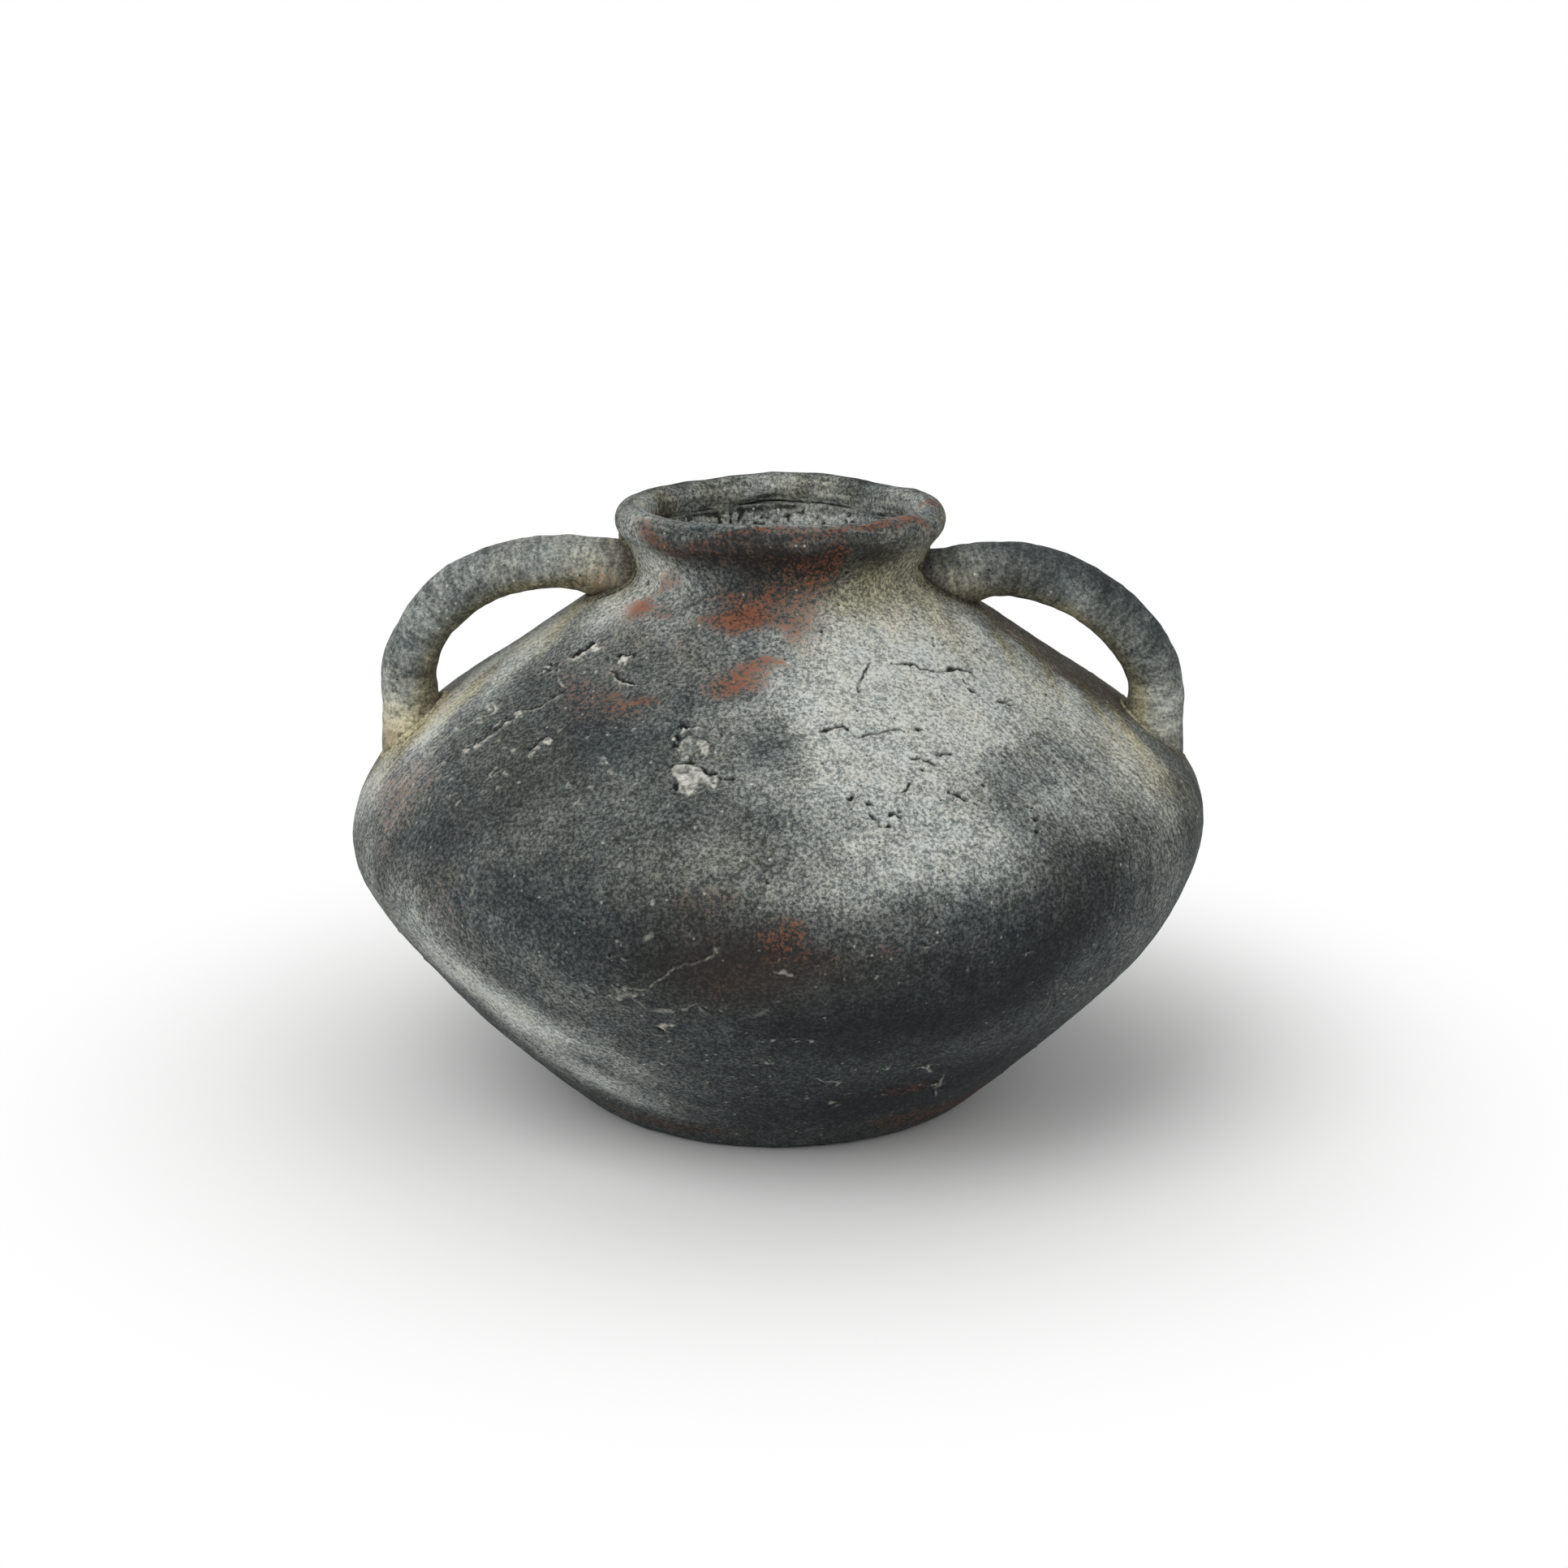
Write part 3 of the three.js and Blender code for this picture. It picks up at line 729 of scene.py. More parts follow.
def addDots(points, ragged, rise, hollow, chalkAndHighlight):
    look = dotLook
    for dots, reach in ((pits, look["pitReach"]), (crumbs, look["crumbReach"])):
        for centre, radius, chalkAmount in dots:
            near = nearBy(points, centre, radius * reach)
            if not len(near):
                continue
            away = points[near] - centre
            distance = np.linalg.norm(away, axis=1) * (1 + look["ragged"] * ragged[near]) / radius
            middle = np.exp(-(distance / 0.85) ** 4)
            if dots is pits:
                rise[near] -= radius * look["pitDepth"] * np.exp(-distance ** 3)
                rise[near] += radius * look["pitRim"] * bell(distance, look["lipAt"], 0.35)
                # painted shade in the pit, and a painted highlight on its lower lip
                atLeast(hollow, near, middle)
                below = smoothStep(0.0, 0.8, -away[:, 2] / radius)
                atLeast(chalkAndHighlight, near, chalkAmount * (bell(distance, look["lipAt"], 0.28) * below))
            else:
                rise[near] += radius * look["crumbHeight"] * np.exp(-distance ** 3)
                atLeast(chalkAndHighlight, near, chalkAmount * middle)
                # a painted shadow on one side of the crumb
                upwards = 1 if centre[2] > look["undercut"] else -1
                beside = smoothStep(0.2, 0.9, upwards * away[:, 2] / radius)
                paintedShade = look["crumbShade"] * chalkAmount * beside * bell(distance, look["lipAt"], 0.35)
                atLeast(hollow, near, paintedShade)


def relief(points):  # height of the skin, painted shade in its hollows and beside its lumps, and chalk with painted highlights on its ridges
    rise, hollow, chalkAndHighlight = np.zeros((3, len(points)))
    ragged = lumps(points, 0.8, 21)
    addCracks(points, ragged, rise, hollow, chalkAndHighlight)
    addPlates(points, rise, hollow, chalkAndHighlight)
    addFlakes(points, rise, hollow, chalkAndHighlight)
    addDots(points, ragged, rise, hollow, chalkAndHighlight)
    mouthRise, mouthHollowShade = mouthRelief(points)
    return rise + mouthRise, np.maximum(hollow, mouthHollowShade), chalkAndHighlight


mouth = {
    "holeMm": 2.4,
    "holeDepth": 0.7,
    "rollWave": 1.2,  # how unevenly the roll was pressed down on the neck inside
    "rollLumps": ((9, 1), (4, 0.6)),
    "wallFrom": (3.5, 5.0),  # this far inside the outer skin
    "wallAbove": (141, 143),
    "wornEdge": (0.36, 0.66),
    "seamTop": 157.3,
    # azimuth and how worn the clay is there
    "holes": (
        (-180, 0.10), (-160, 0.24), (-120, 0.30), (-60, 0.10), (0, 0.0), (60, 0.05), (120, 0.1),
        (145, -0.1), (170, 0.02), (180, 0.10),
    ),
}
# azimuth, radius, height, half width and amount of paler and darker places inside the rim
mouthSpots = {
    "chalk": [
        (-118, 37, 160, 5, -0.14), (165, 38, 163, 4, -0.14), (168, 37, 160.5, 3, -0.12),
        (140, 39, 164, 6, -0.1), (-150, 39, 164, 7, -0.06), (172, 35, 155, 7, 0.08),
        (150, 35, 155, 7, 0.1), (130, 36, 157, 7, 0.06), (178, 37, 161, 4, 0.06), (155, 38, 162, 5, 0.08),
        (-130, 37, 162, 5, 0.04), (150, 35, 155, 8, 0.06), (168, 35, 155, 8, 0.03),
        (-150, 35, 155, 8, 0.04), (175, 39, 162.5, 8, -0.09), (136, 39, 162, 8, -0.1),
        (-137, 39, 162, 7, -0.08), (-158, 39, 162, 8, -0.06), (150, 38, 162, 7, -0.07),
        (-132, 41, 164, 7, -0.14), (147, 41, 164.5, 7, -0.14),
    ],
    "olive": [
        (-118, 37, 160, 7, 0.7), (-150, 38, 162, 9, 0.4), (150, 38, 163, 8, 0.3), (172, 37, 161, 6, 0.4),
    ],
    "shadeAndDirt": [(-116, 37, 159, 3.5, 0.6), (166, 38, 162.5, 2.0, 0.5), (169, 37, 160.5, 1.6, 0.5)],
}


def mouthWeights(points, spots):
    total = np.zeros(len(points))
    for azimuth, radius, height, halfWidth, amount in spots:
        turn = math.radians(azimuth)
        centre = np.array([radius * math.sin(turn), -radius * math.cos(turn), height])
        total += amount * np.exp(-((points - centre) ** 2).sum(axis=1) / halfWidth ** 2)
    return total


def mouthRelief(points):  # holes in the wall under the rolled rim, the wavy edge of the roll, and painted shade in the holes and along the seam under the roll
    radius, height, roll = radiusOf(points), points[:, 2], pot["rimRoll"]
    onWall = smoothStep(*mouth["wallFrom"], outerRadius(height) - radius)
    onWall = onWall * smoothStep(*mouth["wallAbove"], height) * (height < mouth["seamTop"])
    moved = points + 0.9 * wander(points, 1.7, 95)
    uneven = layered(moved, 91, (mouth["holeMm"], 0.7), (mouth["holeMm"] / 2, 0.7))
    holes = smoothStep(*mouth["wornEdge"], uneven + byAzimuth(mouth["holes"], turnOf(points))) * onWall
    underRoll = (radius < roll["radius"] - 0.5) & (height < roll["height"]) & (onWall == 0)
    wave = layered(points, 93, *mouth["rollLumps"])
    low = smoothStep(0, 2.5, roll["height"] - height) * underRoll
    # painted shade along the seam where the roll meets the neck inside
    seam = smoothStep(2.3, 1.0, mouth["seamTop"] - height + 0.8 * wave) * onWall
    seam = seam * (0.4 + 0.6 * smoothStep(-0.3, 0.2, lumps(points, 5, 98)))
    rise = mouth["rollWave"] * wave * low - mouth["holeDepth"] * holes
    return rise, np.maximum(holes, seam)


def isBusy(points, margin):  # near enough to a crack, pit or crumb to need finer faces
    busy = np.zeros(len(points), bool)
    for crack in cracks:
        near = np.where(inBox(points, crack["line"], margin + 1) & ~busy)[0]
        distance = np.full(len(near), 1e9)
        for point in crack["line"][::2]:
            distance = np.minimum(distance, np.linalg.norm(points[near] - point, axis=1))
        busy[near[distance < margin + 0.7]] = True
    dots = [(centre, radius) for centre, radius, chalkAmount in pits + crumbs]
    dots += [(flake[0], max(flake[1:3])) for flake in flakes]
    for corners, thickness, chalkAmount in plates:
        centre = corners.mean(axis=0)
        dots.append((centre, 0.9 * np.abs(corners - centre).max()))
    for centre, radius in dots:
        reach = radius * 1.3 + margin * 0.4
        near = nearBy(points, centre, reach)
        busy[near[np.linalg.norm(points[near] - centre, axis=1) < reach]] = True
    return busy


# Handles: a coil with an oval section, bent in the plane of the pot's axis

handles = {
    "left": {
        "side": -1, "rootRise": 3.6, "crownRise": 9.3, "crownOut": 9.4, "reachInset": 15.6,
        "elbowDrop": 26.5, "fullness": 0.56, "flareUpper": 1.5, "flareLower": 2.2, "innerLumps": 0.45,
        "swell": -0.3, "seed": 61,
    },
    "right": {
        "side": 1, "rootRise": 1.2, "crownRise": 7, "crownOut": 11.5, "reachInset": 13,
        "elbowDrop": 29, "fullness": 0.47, "flareUpper": 1.3, "flareLower": 1.5, "innerLumps": 0.2,
        "swell": -0.1, "seed": 66,
    },
}
coil = {
    "thickness": 15,
    "width": 17.5,
    "startSink": 5.6,
    "endSink": 14,
    "rows": 230,
    "facets": 84,
    "buried": 2.4,
    "streak": 0.8,
    "flareReach": 4.2,
    "lump": 0.42,
    "grain": 0.14,
    "lumps": ((11, 1), (5, 0.6)),
    "innerLump": 4.5,
    "grainMm": 2.2,
    "upperRoot": (14, 16),  # the upper root lies within this below and outside the neck's root
    "capScales": (0.0, 0.35, 0.7),
    "halvings": 16,
    "loopPoints": 72,
    "brushAlong": 0.25,
    "brushAround": 1.6,
    "rootCreaseShade": 0.7,
    "wander": (6, 1.4),  # size and reach of what frays the spots
}


def handleLine(sizes):
    side, neck = sizes["side"], pot["neckRootRadius"]
    reach = pot["bellyRadius"] - sizes["reachInset"]
    rootZ, crownZ = pot["neckRootHeight"] + sizes["rootRise"], pot["neckRootHeight"] + sizes["crownRise"]
    crown = np.array([neck + sizes["crownOut"], crownZ])
    elbow = np.array([reach, pot["neckRootHeight"] - sizes["elbowDrop"]])
    start = np.array([pot["throatRadius"] - coil["startSink"], rootZ])
    corner = np.array([neck, crownZ])
    upper = outside[outside[:, 1] > pot["bellyHeight"]]
    shoulderZ = np.interp(-reach, -upper[:, 0], upper[:, 1])
    end = np.array([reach, shoulderZ - coil["endSink"]])
    share = np.linspace(0, 1, 80)[:, None]
    first = (1 - share) ** 2 * start + 2 * share * (1 - share) * corner + share ** 2 * crown
    arch = stretch(
        crown, (abs(elbow[0] - crown[0]) * sizes["fullness"], 0),
        elbow, (0, -(crown[1] - elbow[1]) * sizes["fullness"]), 160,
    )
    down = elbow + (end - elbow) * np.linspace(0, 1, 40)[:, None]
    line = evenly(np.concatenate([first, arch[1:], down[1:]]), 0.25)
    return np.stack([side * line[:, 0], np.zeros(len(line)), line[:, 1]], axis=1)


def handleSurface(line, place, around, growth, scale=1):  # one place and one angle for each point
    along = sampled(unit(np.gradient(line, axis=0)), place)
    across = np.array([0, 1.0, 0])
    outwards = unit(np.cross(along, across) * np.sign(line[-1, 0]))
    sideways, upwards = np.cos(around)[:, None] * across, np.sin(around)[:, None] * outwards
    normal = unit(sideways / coil["width"] + upwards / coil["thickness"])
    point = sampled(line, place) + sideways * coil["width"] / 2 * scale
    point += upwards * coil["thickness"] / 2 * scale
    return point + normal * np.reshape(growth, (-1, 1)), normal


def depthInPot(points):  # how far inside the outer skin, in mm
    radius, height = radiusOf(points), points[:, 2]
    near = lineDistance(np.stack([radius, height], axis=1), silhouette[:-1:6], silhouette[6::6])
    within = radius < outerRadius(np.clip(height, 0.1, pot["height"] - 0.1))
    return np.where(within, near, -near)


# where lines along the coil reach a depth in the pot
def rootPlaces(line, around, depth, buriedEnd, scale=1, growth=0.0):
    free = np.full(len(around), (len(line) - 1) / 2)
    buried = np.full(len(around), buriedEnd * (len(line) - 1.0))
    for halving in range(coil["halvings"]):
        middle = (free + buried) / 2
        deep = depthInPot(handleSurface(line, middle, around, growth, scale)[0]) > depth
        buried = np.where(deep, middle, buried)
        free = np.where(deep, free, middle)
    return (free + buried) / 2


def flareAt(sizes, upper, around):  # how much a root spreads; the lower one hardly does on its outer side
    outer = smoothStep(-0.1, 0.8, np.sin(around))
    return np.where(upper, sizes["flareUpper"], sizes["flareLower"] * (1 - 0.95 * outer))


handleLines = {name: handleLine(sizes) for name, sizes in handles.items()}
rootLoops = {}
for name, line in handleLines.items():
    around = np.linspace(0, 2 * math.pi, coil["loopPoints"] + 1)[:-1]
    for end, endName in enumerate(("upper", "lower")):
        flare = flareAt(handles[name], end == 0, around)
        places = rootPlaces(line, around, 0.0, end, 1, flare)
        rootLoops[f"{name}_{endName}"] = handleSurface(line, places, around, flare)[0]
print("handle roots found")


# Colour zones. Each spot: place, half width and half height on the surface, amount, and its turn if any.
# A place is a pixel of the photograph, or an azimuth and a height at the sides and the back.

chalkInFront = [
    (1110, 850, 30, 24, 0.42), (1120, 940, 26, 22, 0.3), (1200, 880, 17, 18, 0.14),
    (1050, 800, 18, 14, 0.18), (1160, 1050, 28, 20, 0.3, 10), (1060, 1060, 22, 15, 0.16),
    (985, 870, 12, 20, 0.1), (1000, 940, 16, 14, 0.06), (860, 940, 8, 11, 0.1), (1080, 720, 15, 8, 0.22),
    (1200, 1000, 16, 14, 0.08), (1400, 960, 18, 14, 0.16), (1450, 1000, 14, 22, 0.1),
    (1330, 880, 16, 12, 0.1), (650, 795, 24, 6, 0.34, -35), (540, 890, 22, 7, 0.3, -40),
    (460, 960, 14, 16, 0.32), (452, 1060, 10, 24, 0.16), (760, 750, 12, 7, 0.26),
    (530, 1170, 16, 16, 0.28, -45), (600, 1230, 20, 12, 0.32, -40), (680, 1270, 26, 11, 0.26, -35),
    (760, 1320, 26, 10, 0.2, -30), (700, 1080, 40, 30, 0.02), (900, 1010, 20, 14, 0.08),
    (840, 770, 10, 8, 0.08), (800, 715, 8, 9, 0.18), (1290, 1230, 26, 10, 0.05, 40),
    (1420, 1120, 12, 18, 0.08, 20), (1215, 800, 9, 9, 0.16), (1250, 840, 9, 10, 0.26),
    (1300, 880, 10, 11, 0.24), (1350, 915, 10, 12, 0.2), (1395, 950, 10, 12, 0.16),
    (1300, 965, 12, 10, 0.2), (1350, 995, 12, 10, 0.12), (1220, 1062, 12, 9, 0.18),
    (1000, 1112, 18, 8, 0.16), (890, 1062, 20, 9, 0.13), (1100, 1155, 18, 8, 0.08),
    (580, 835, 14, 6, 0.26, -35), (645, 785, 16, 6, 0.22, -35), (700, 1312, 17, 9, 0.36, -35),
    (650, 1262, 12, 8, 0.08, -35), (785, 1352, 18, 8, 0.3, -30), (500, 1115, 8, 8, 0.1),
    (780, 640, 10, 8, 0.18), (1120, 625, 12, 6, 0.08), (1100, 800, 14, 10, 0.12),
    (1075, 900, 16, 12, 0.1), (690, 778, 10, 5, 0.12, -35), (552, 845, 9, 6, 0.12, -38),
    (630, 800, 9, 6, 0.1, -35), (820, 712, 9, 5, 0.14), (1270, 800, 8, 6, 0.1, 38),
    (1290, 850, 12, 7, 0.14, 38), (500, 892, 9, 8, 0.16, -40), (1375, 890, 9, 7, 0.12, 38),
    (1415, 935, 8, 8, 0.14, 40), (1320, 1040, 12, 12, 0.08), (1080, 1225, 26, 8, 0.07),
    (960, 1225, 14, 8, 0.05), (700, 1228, 12, 7, 0.07, -30), (1215, 1160, 12, 9, 0.1),
    (460, 965, 10, 10, 0.1), (1240, 770, 6, 4, 0.1, 38), (684, 784, 10, 5, 0.08, -35),
    (722, 775, 9, 5, 0.07, -35), (540, 832, 9, 5, 0.1, -38), (590, 820, 9, 5, 0.06, -38),
    (1080, 830, 20, 9, 0.07), (1120, 780, 10, 7, 0.05), (1050, 905, 16, 10, 0.07),
    (1150, 870, 10, 8, 0.06), (1265, 822, 9, 6, 0.1, 38), (1310, 845, 7, 5, 0.12, 38),
    (490, 880, 8, 6, 0.1, -40), (1400, 880, 6, 6, 0.08, 38), (1415, 925, 8, 7, 0.06, 40),
    (920, 965, 9, 8, 0.07), (1300, 1112, 12, 8, 0.05), (770, 1350, 9, 5, 0.06, -30),
    (960, 770, 8, 6, 0.06), (1180, 745, 8, 4, 0.1), (488, 880, 8, 6, 0.16, -40),
    (528, 828, 8, 5, 0.1, -38), (576, 822, 8, 5, 0.06, -38), (672, 778, 9, 5, 0.07, -35),
    (912, 868, 9, 8, 0.06), (915, 968, 9, 8, 0.05), (470, 970, 8, 8, 0.06), (432, 1012, 8, 9, 0.07),
    (690, 1012, 16, 8, 0.06), (880, 1015, 14, 8, 0.07), (600, 1060, 12, 8, 0.06), (865, 1062, 9, 7, 0.06),
    (1050, 1204, 20, 8, 0.07), (1296, 1108, 9, 8, 0.06), (1375, 872, 9, 6, 0.09, 38),
    (1395, 918, 7, 6, 0.06, 38), (1155, 690, 7, 6, 0.16), (1200, 740, 6, 5, 0.18),
    (1250, 790, 7, 4, 0.12, 38), (1320, 862, 7, 4, 0.12, 38), (552, 850, 7, 4, 0.1, -40),
    (500, 900, 8, 5, 0.14, -42), (744, 748, 8, 4, 0.08, -30), (1176, 1228, 12, 7, 0.08),
    (1290, 1112, 10, 8, 0.06), (1390, 905, 6, 5, 0.1, 38), (1150, 752, 9, 4, 0.2, 30),
    (1195, 772, 9, 4, 0.18, 38), (1224, 745, 6, 5, 0.14, 38), (1272, 792, 6, 4, 0.08, 38),
    (1320, 850, 6, 4, 0.1, 38), (575, 838, 12, 5, 0.1, -38), (670, 790, 12, 5, 0.06, -35),
    (504, 892, 7, 6, 0.14, -42), (1368, 892, 6, 5, 0.1, 38), (504, 988, 9, 8, 0.05),
    (1415, 900, 6, 6, 0.1, 38), (1104, 836, 14, 8, 0.05), (1130, 1228, 10, 7, 0.05),
    (696, 1322, 8, 5, 0.06, -30), (820, 705, 8, 5, 0.06), (930, 668, 22, 3.5, 0.07),
    (1040, 662, 16, 3, 0.12),
]
slateInFront = [
    (620, 1000, 20, 16, 0.1), (700, 880, 26, 12, 0.1, -25), (620, 930, 20, 8, 0.06, -35),
    (860, 1180, 34, 12, 0.2), (1000, 1240, 40, 22, 0.18), (1230, 1190, 34, 20, 0.26),
    (1330, 1100, 18, 12, 0.2), (1130, 1260, 40, 18, 0.14), (950, 1370, 60, 14, 0.12),
    (1150, 1340, 40, 18, 0.12), (900, 680, 26, 6, 0.2), (1275, 1015, 8, 12, 0.04),
    (830, 830, 18, 14, 0.04), (980, 692, 14, 6, 0.12), (905, 735, 10, 6, 0.1), (1190, 965, 12, 9, 0.12),
    (960, 790, 8, 9, 0.08), (1040, 690, 18, 5, 0.24), (930, 700, 14, 6, 0.1), (1080, 700, 10, 6, 0.14),
    (975, 740, 9, 8, 0.09), (920, 735, 8, 6, 0.05), (790, 890, 12, 10, 0.06), (925, 940, 11, 10, 0.08),
    (1270, 940, 11, 9, 0.11), (1235, 990, 10, 9, 0.11), (885, 985, 11, 9, 0.08), (850, 1035, 22, 8, 0.08),
    (960, 1035, 13, 8, 0.12), (1470, 1030, 7, 9, 0.1), (950, 1085, 18, 7, 0.1),
    (650, 1130, 18, 7, 0.09, -20), (1130, 1130, 16, 7, 0.1), (1415, 1115, 8, 7, 0.08),
    (545, 1030, 8, 8, 0.05), (728, 1305, 9, 5, 0.1), (735, 920, 14, 10, 0.08), (955, 918, 8, 9, 0.07),
    (1252, 965, 11, 9, 0.09), (1345, 920, 7, 7, 0.06), (490, 1062, 7, 9, 0.06), (720, 1062, 14, 9, 0.06),
    (580, 1110, 9, 8, 0.05), (680, 1110, 12, 8, 0.05), (1165, 1110, 14, 8, 0.06), (1490, 1012, 5, 9, 0.2),
    (1075, 676, 12, 4, 0.1), (1085, 712, 10, 6, 0.08), (1008, 820, 9, 8, 0.1), (1056, 820, 9, 8, 0.04),
    (1200, 868, 9, 8, 0.06), (1296, 872, 7, 7, 0.05), (960, 916, 8, 8, 0.09), (1008, 868, 8, 8, 0.04),
    (864, 988, 10, 8, 0.08), (912, 1010, 8, 7, 0.06), (840, 940, 9, 7, 0.05),
    (700, 1305, 10, 5, 0.06, -30), (1344, 918, 7, 6, 0.09), (984, 844, 8, 8, 0.07),
    (840, 940, 8, 8, 0.04), (984, 940, 8, 8, 0.05), (1368, 940, 7, 7, 0.09), (1200, 1036, 14, 8, 0.06),
    (1464, 1036, 7, 8, 0.08), (1080, 1084, 9, 7, 0.06), (552, 1036, 8, 7, 0.05), (1272, 1084, 9, 7, 0.06),
    (1250, 1132, 12, 7, 0.06), (744, 1322, 8, 5, 0.07, -30), (840, 1036, 8, 7, 0.05),
    (1152, 964, 10, 8, 0.06), (1056, 1012, 10, 8, 0.06), (1104, 1012, 10, 8, 0.04),
    (1175, 1012, 14, 8, 0.08), (715, 1298, 9, 5, 0.08, -30), (672, 1252, 8, 5, 0.05, -30),
    (1008, 772, 8, 7, 0.05),
]
rustInFront = [
    (791, 748, 4.4, 3.2, 0.72, -15), (824, 727, 5, 1.4, 0.36, 25), (822, 756, 4, 2.6, 0.28),
    (913, 765, 9, 3.4, 0.92), (888, 742, 6, 2, 0.26), (940, 744, 6, 2.5, 0.26),
    (925, 818, 4.5, 3.2, 0.36), (945, 816, 5, 1.5, 0.3, -10), (911, 838, 5, 4.6, 0.42, 20),
    (886, 838, 8, 4, 0.2, 10), (845, 800, 8, 5, 0.11), (985, 735, 7, 9, 0.3), (1005, 705, 5, 4, 0.28),
    (985, 780, 4, 5, 0.21), (1027, 688, 3, 3, 0.44), (792, 860, 3.6, 1.1, 0.42, 10),
    (765, 872, 7, 3, 0.17, -10), (962, 1152, 6, 4, 0.36), (860, 1108, 10, 3, 0.15),
    (975, 1175, 8, 3, 0.15), (1100, 1172, 5, 2, 0.16), (930, 1200, 16, 8, 0.09), (890, 1225, 10, 5, 0.08),
    (870, 1150, 12, 8, 0.07), (1040, 1190, 16, 6, 0.08), (480, 1030, 8, 22, 0.14),
    (490, 965, 10, 12, 0.16, -30), (545, 1120, 14, 9, 0.13, -40), (800, 668, 8, 3, 0.36, -20),
    (850, 680, 12, 3, 0.2), (920, 695, 16, 4, 0.16), (1160, 1365, 26, 7, 0.32), (1110, 1345, 10, 4, 0.28),
    (820, 1385, 24, 4, 0.26), (985, 654, 10, 1.8, 0.32), (930, 652, 7, 1.2, 0.32),
    (1060, 648, 12, 1.4, 0.3), (1118, 639, 8, 1.7, 0.48, -20), (1150, 618, 4, 3, 0.46),
    (1078, 650, 8, 1.2, 0.3, -8), (700, 835, 18, 5, 0.1, -35), (780, 780, 12, 5, 0.14, -30),
    (745, 800, 10, 3, 0.12, -35), (735, 860, 14, 8, 0.15),
]
oliveInFront = [
    (1090, 705, 16, 9, 0.85), (1180, 790, 10, 8, 0.32, 30), (1280, 848, 20, 6, 0.25, 40),
    (1360, 905, 16, 6, 0.3, 38), (1232, 786, 12, 2.2, 0.7, 38), (1288, 822, 14, 2.2, 0.8, 38),
    (1345, 862, 14, 2.2, 0.8, 38), (1388, 896, 8, 3, 0.6, 38), (700, 760, 20, 4, 0.55, -35),
    (600, 830, 22, 3.5, 0.5, -38), (510, 900, 16, 6, 0.6, -45), (1420, 945, 14, 8, 0.6, 40),
    (1465, 985, 8, 10, 0.4), (650, 1000, 16, 14, 0.18), (640, 930, 16, 12, 0.22),
    (860, 1060, 26, 12, 0.2), (1000, 720, 20, 8, 0.3), (870, 1200, 26, 14, 0.22),
    (1400, 1010, 14, 14, 0.2), (830, 800, 16, 10, 0.14), (1330, 1080, 16, 12, 0.18),
    (1240, 750, 10, 5, 0.3, 40), (850, 935, 10, 14, 0.14), (1180, 660, 8, 8, 0.35),
    (1145, 742, 10, 5, 0.45, 30), (1135, 700, 5, 8, 0.4),
]
# dark places: painted crease shade under the rim roll and beside the right handle's lower root, and
# darker places low on the belly
shadeAndDirtInFront = [
    (905, 690, 24, 5, 0.24), (1010, 676, 18, 3.5, 0.14), (820, 680, 12, 4, 0.3), (1100, 672, 12, 3, 0.25),
    (1463, 952, 4, 10, 0.38, -30), (905, 1195, 20, 10, 0.34), (1020, 1205, 22, 8, 0.24),
    (850, 1110, 12, 6, 0.14),
]
chalkBehind = [
    (-79, 108, 8, 8, 0.2), (-79, 117, 8, 8, 0.24), (-83, 127, 8, 8, 0.24), (-90, 136, 9, 6, 0.2),
    (170, 122, 34, 20, 0.44), (200, 92, 30, 18, 0.34), (145, 80, 24, 20, 0.28),
    (-120, 100, 28, 14, 0.3, -20), (120, 108, 24, 14, 0.26, 20), (215, 60, 30, 12, 0.22, -20),
    (160, 45, 26, 10, 0.22), (-95, 44, 26, 12, 0.26), (-125, 66, 20, 16, 0.14), (100, 84, 18, 16, 0.16),
    (185, 148, 26, 6, 0.12), (-140, 128, 18, 8, 0.22),
]
slateBehind = [
    (130, 50, 32, 16, 0.18), (-150, 44, 36, 14, 0.14), (190, 20, 60, 12, 0.12), (-100, 80, 20, 12, 0.08),
    (150, 104, 18, 10, 0.1), (95, 40, 26, 18, 0.14), (-160, 108, 16, 12, 0.16),
    (175, 74, 26, 8, 0.12, 10),
]
rustBehind = [
    (190, 134, 16, 4, 0.46), (182, 131, 5, 3, 0.5), (176, 127, 12, 5, 0.26, 20),
    (-140, 118, 14, 5, 0.4, -20), (160, 70, 22, 7, 0.26), (205, 74, 16, 6, 0.24, 10),
    (-110, 70, 12, 18, 0.24), (120, 128, 13, 4, 0.34), (110, 66, 14, 10, 0.22, 20),
    (180, 10, 40, 5, 0.34), (195, 154, 22, 3.5, 0.4), (140, 155, 16, 3, 0.3), (-120, 155, 16, 3, 0.3),
    (152, 66, 7, 3, 0.26), (212, 78, 6, 3, 0.28),
]
oliveBehind = [
    (-80, 112, 7, 12, 0.26), (-85, 128, 7, 10, 0.3), (190, 142, 24, 8, 0.35), (150, 116, 24, 10, 0.22),
    (-125, 112, 20, 8, 0.3, -20), (170, 64, 30, 14, 0.2), (125, 90, 16, 14, 0.18),
    (-150, 80, 20, 14, 0.18),
]
shadeStripUnderHandle = {
    # a dark brown strip below the right handle, partly painted shade from the handle: azimuth of its
    # front edge by height
    "heights": (100, 107, 114, 121, 130, 138, 143),
    "azimuths": (88, 82, 79.6, 78.4, 80.2, 85.6, 90),
    "farEdge": 108,
    "fromHeight": (98, 104),
    "toHeight": (139, 144),
    "edgeWander": 1.6,
    "farEdgeWander": 7,
    "farEdgeBlur": 11,
    "colourShare": 0.90,
    "olive": 0.5,
}
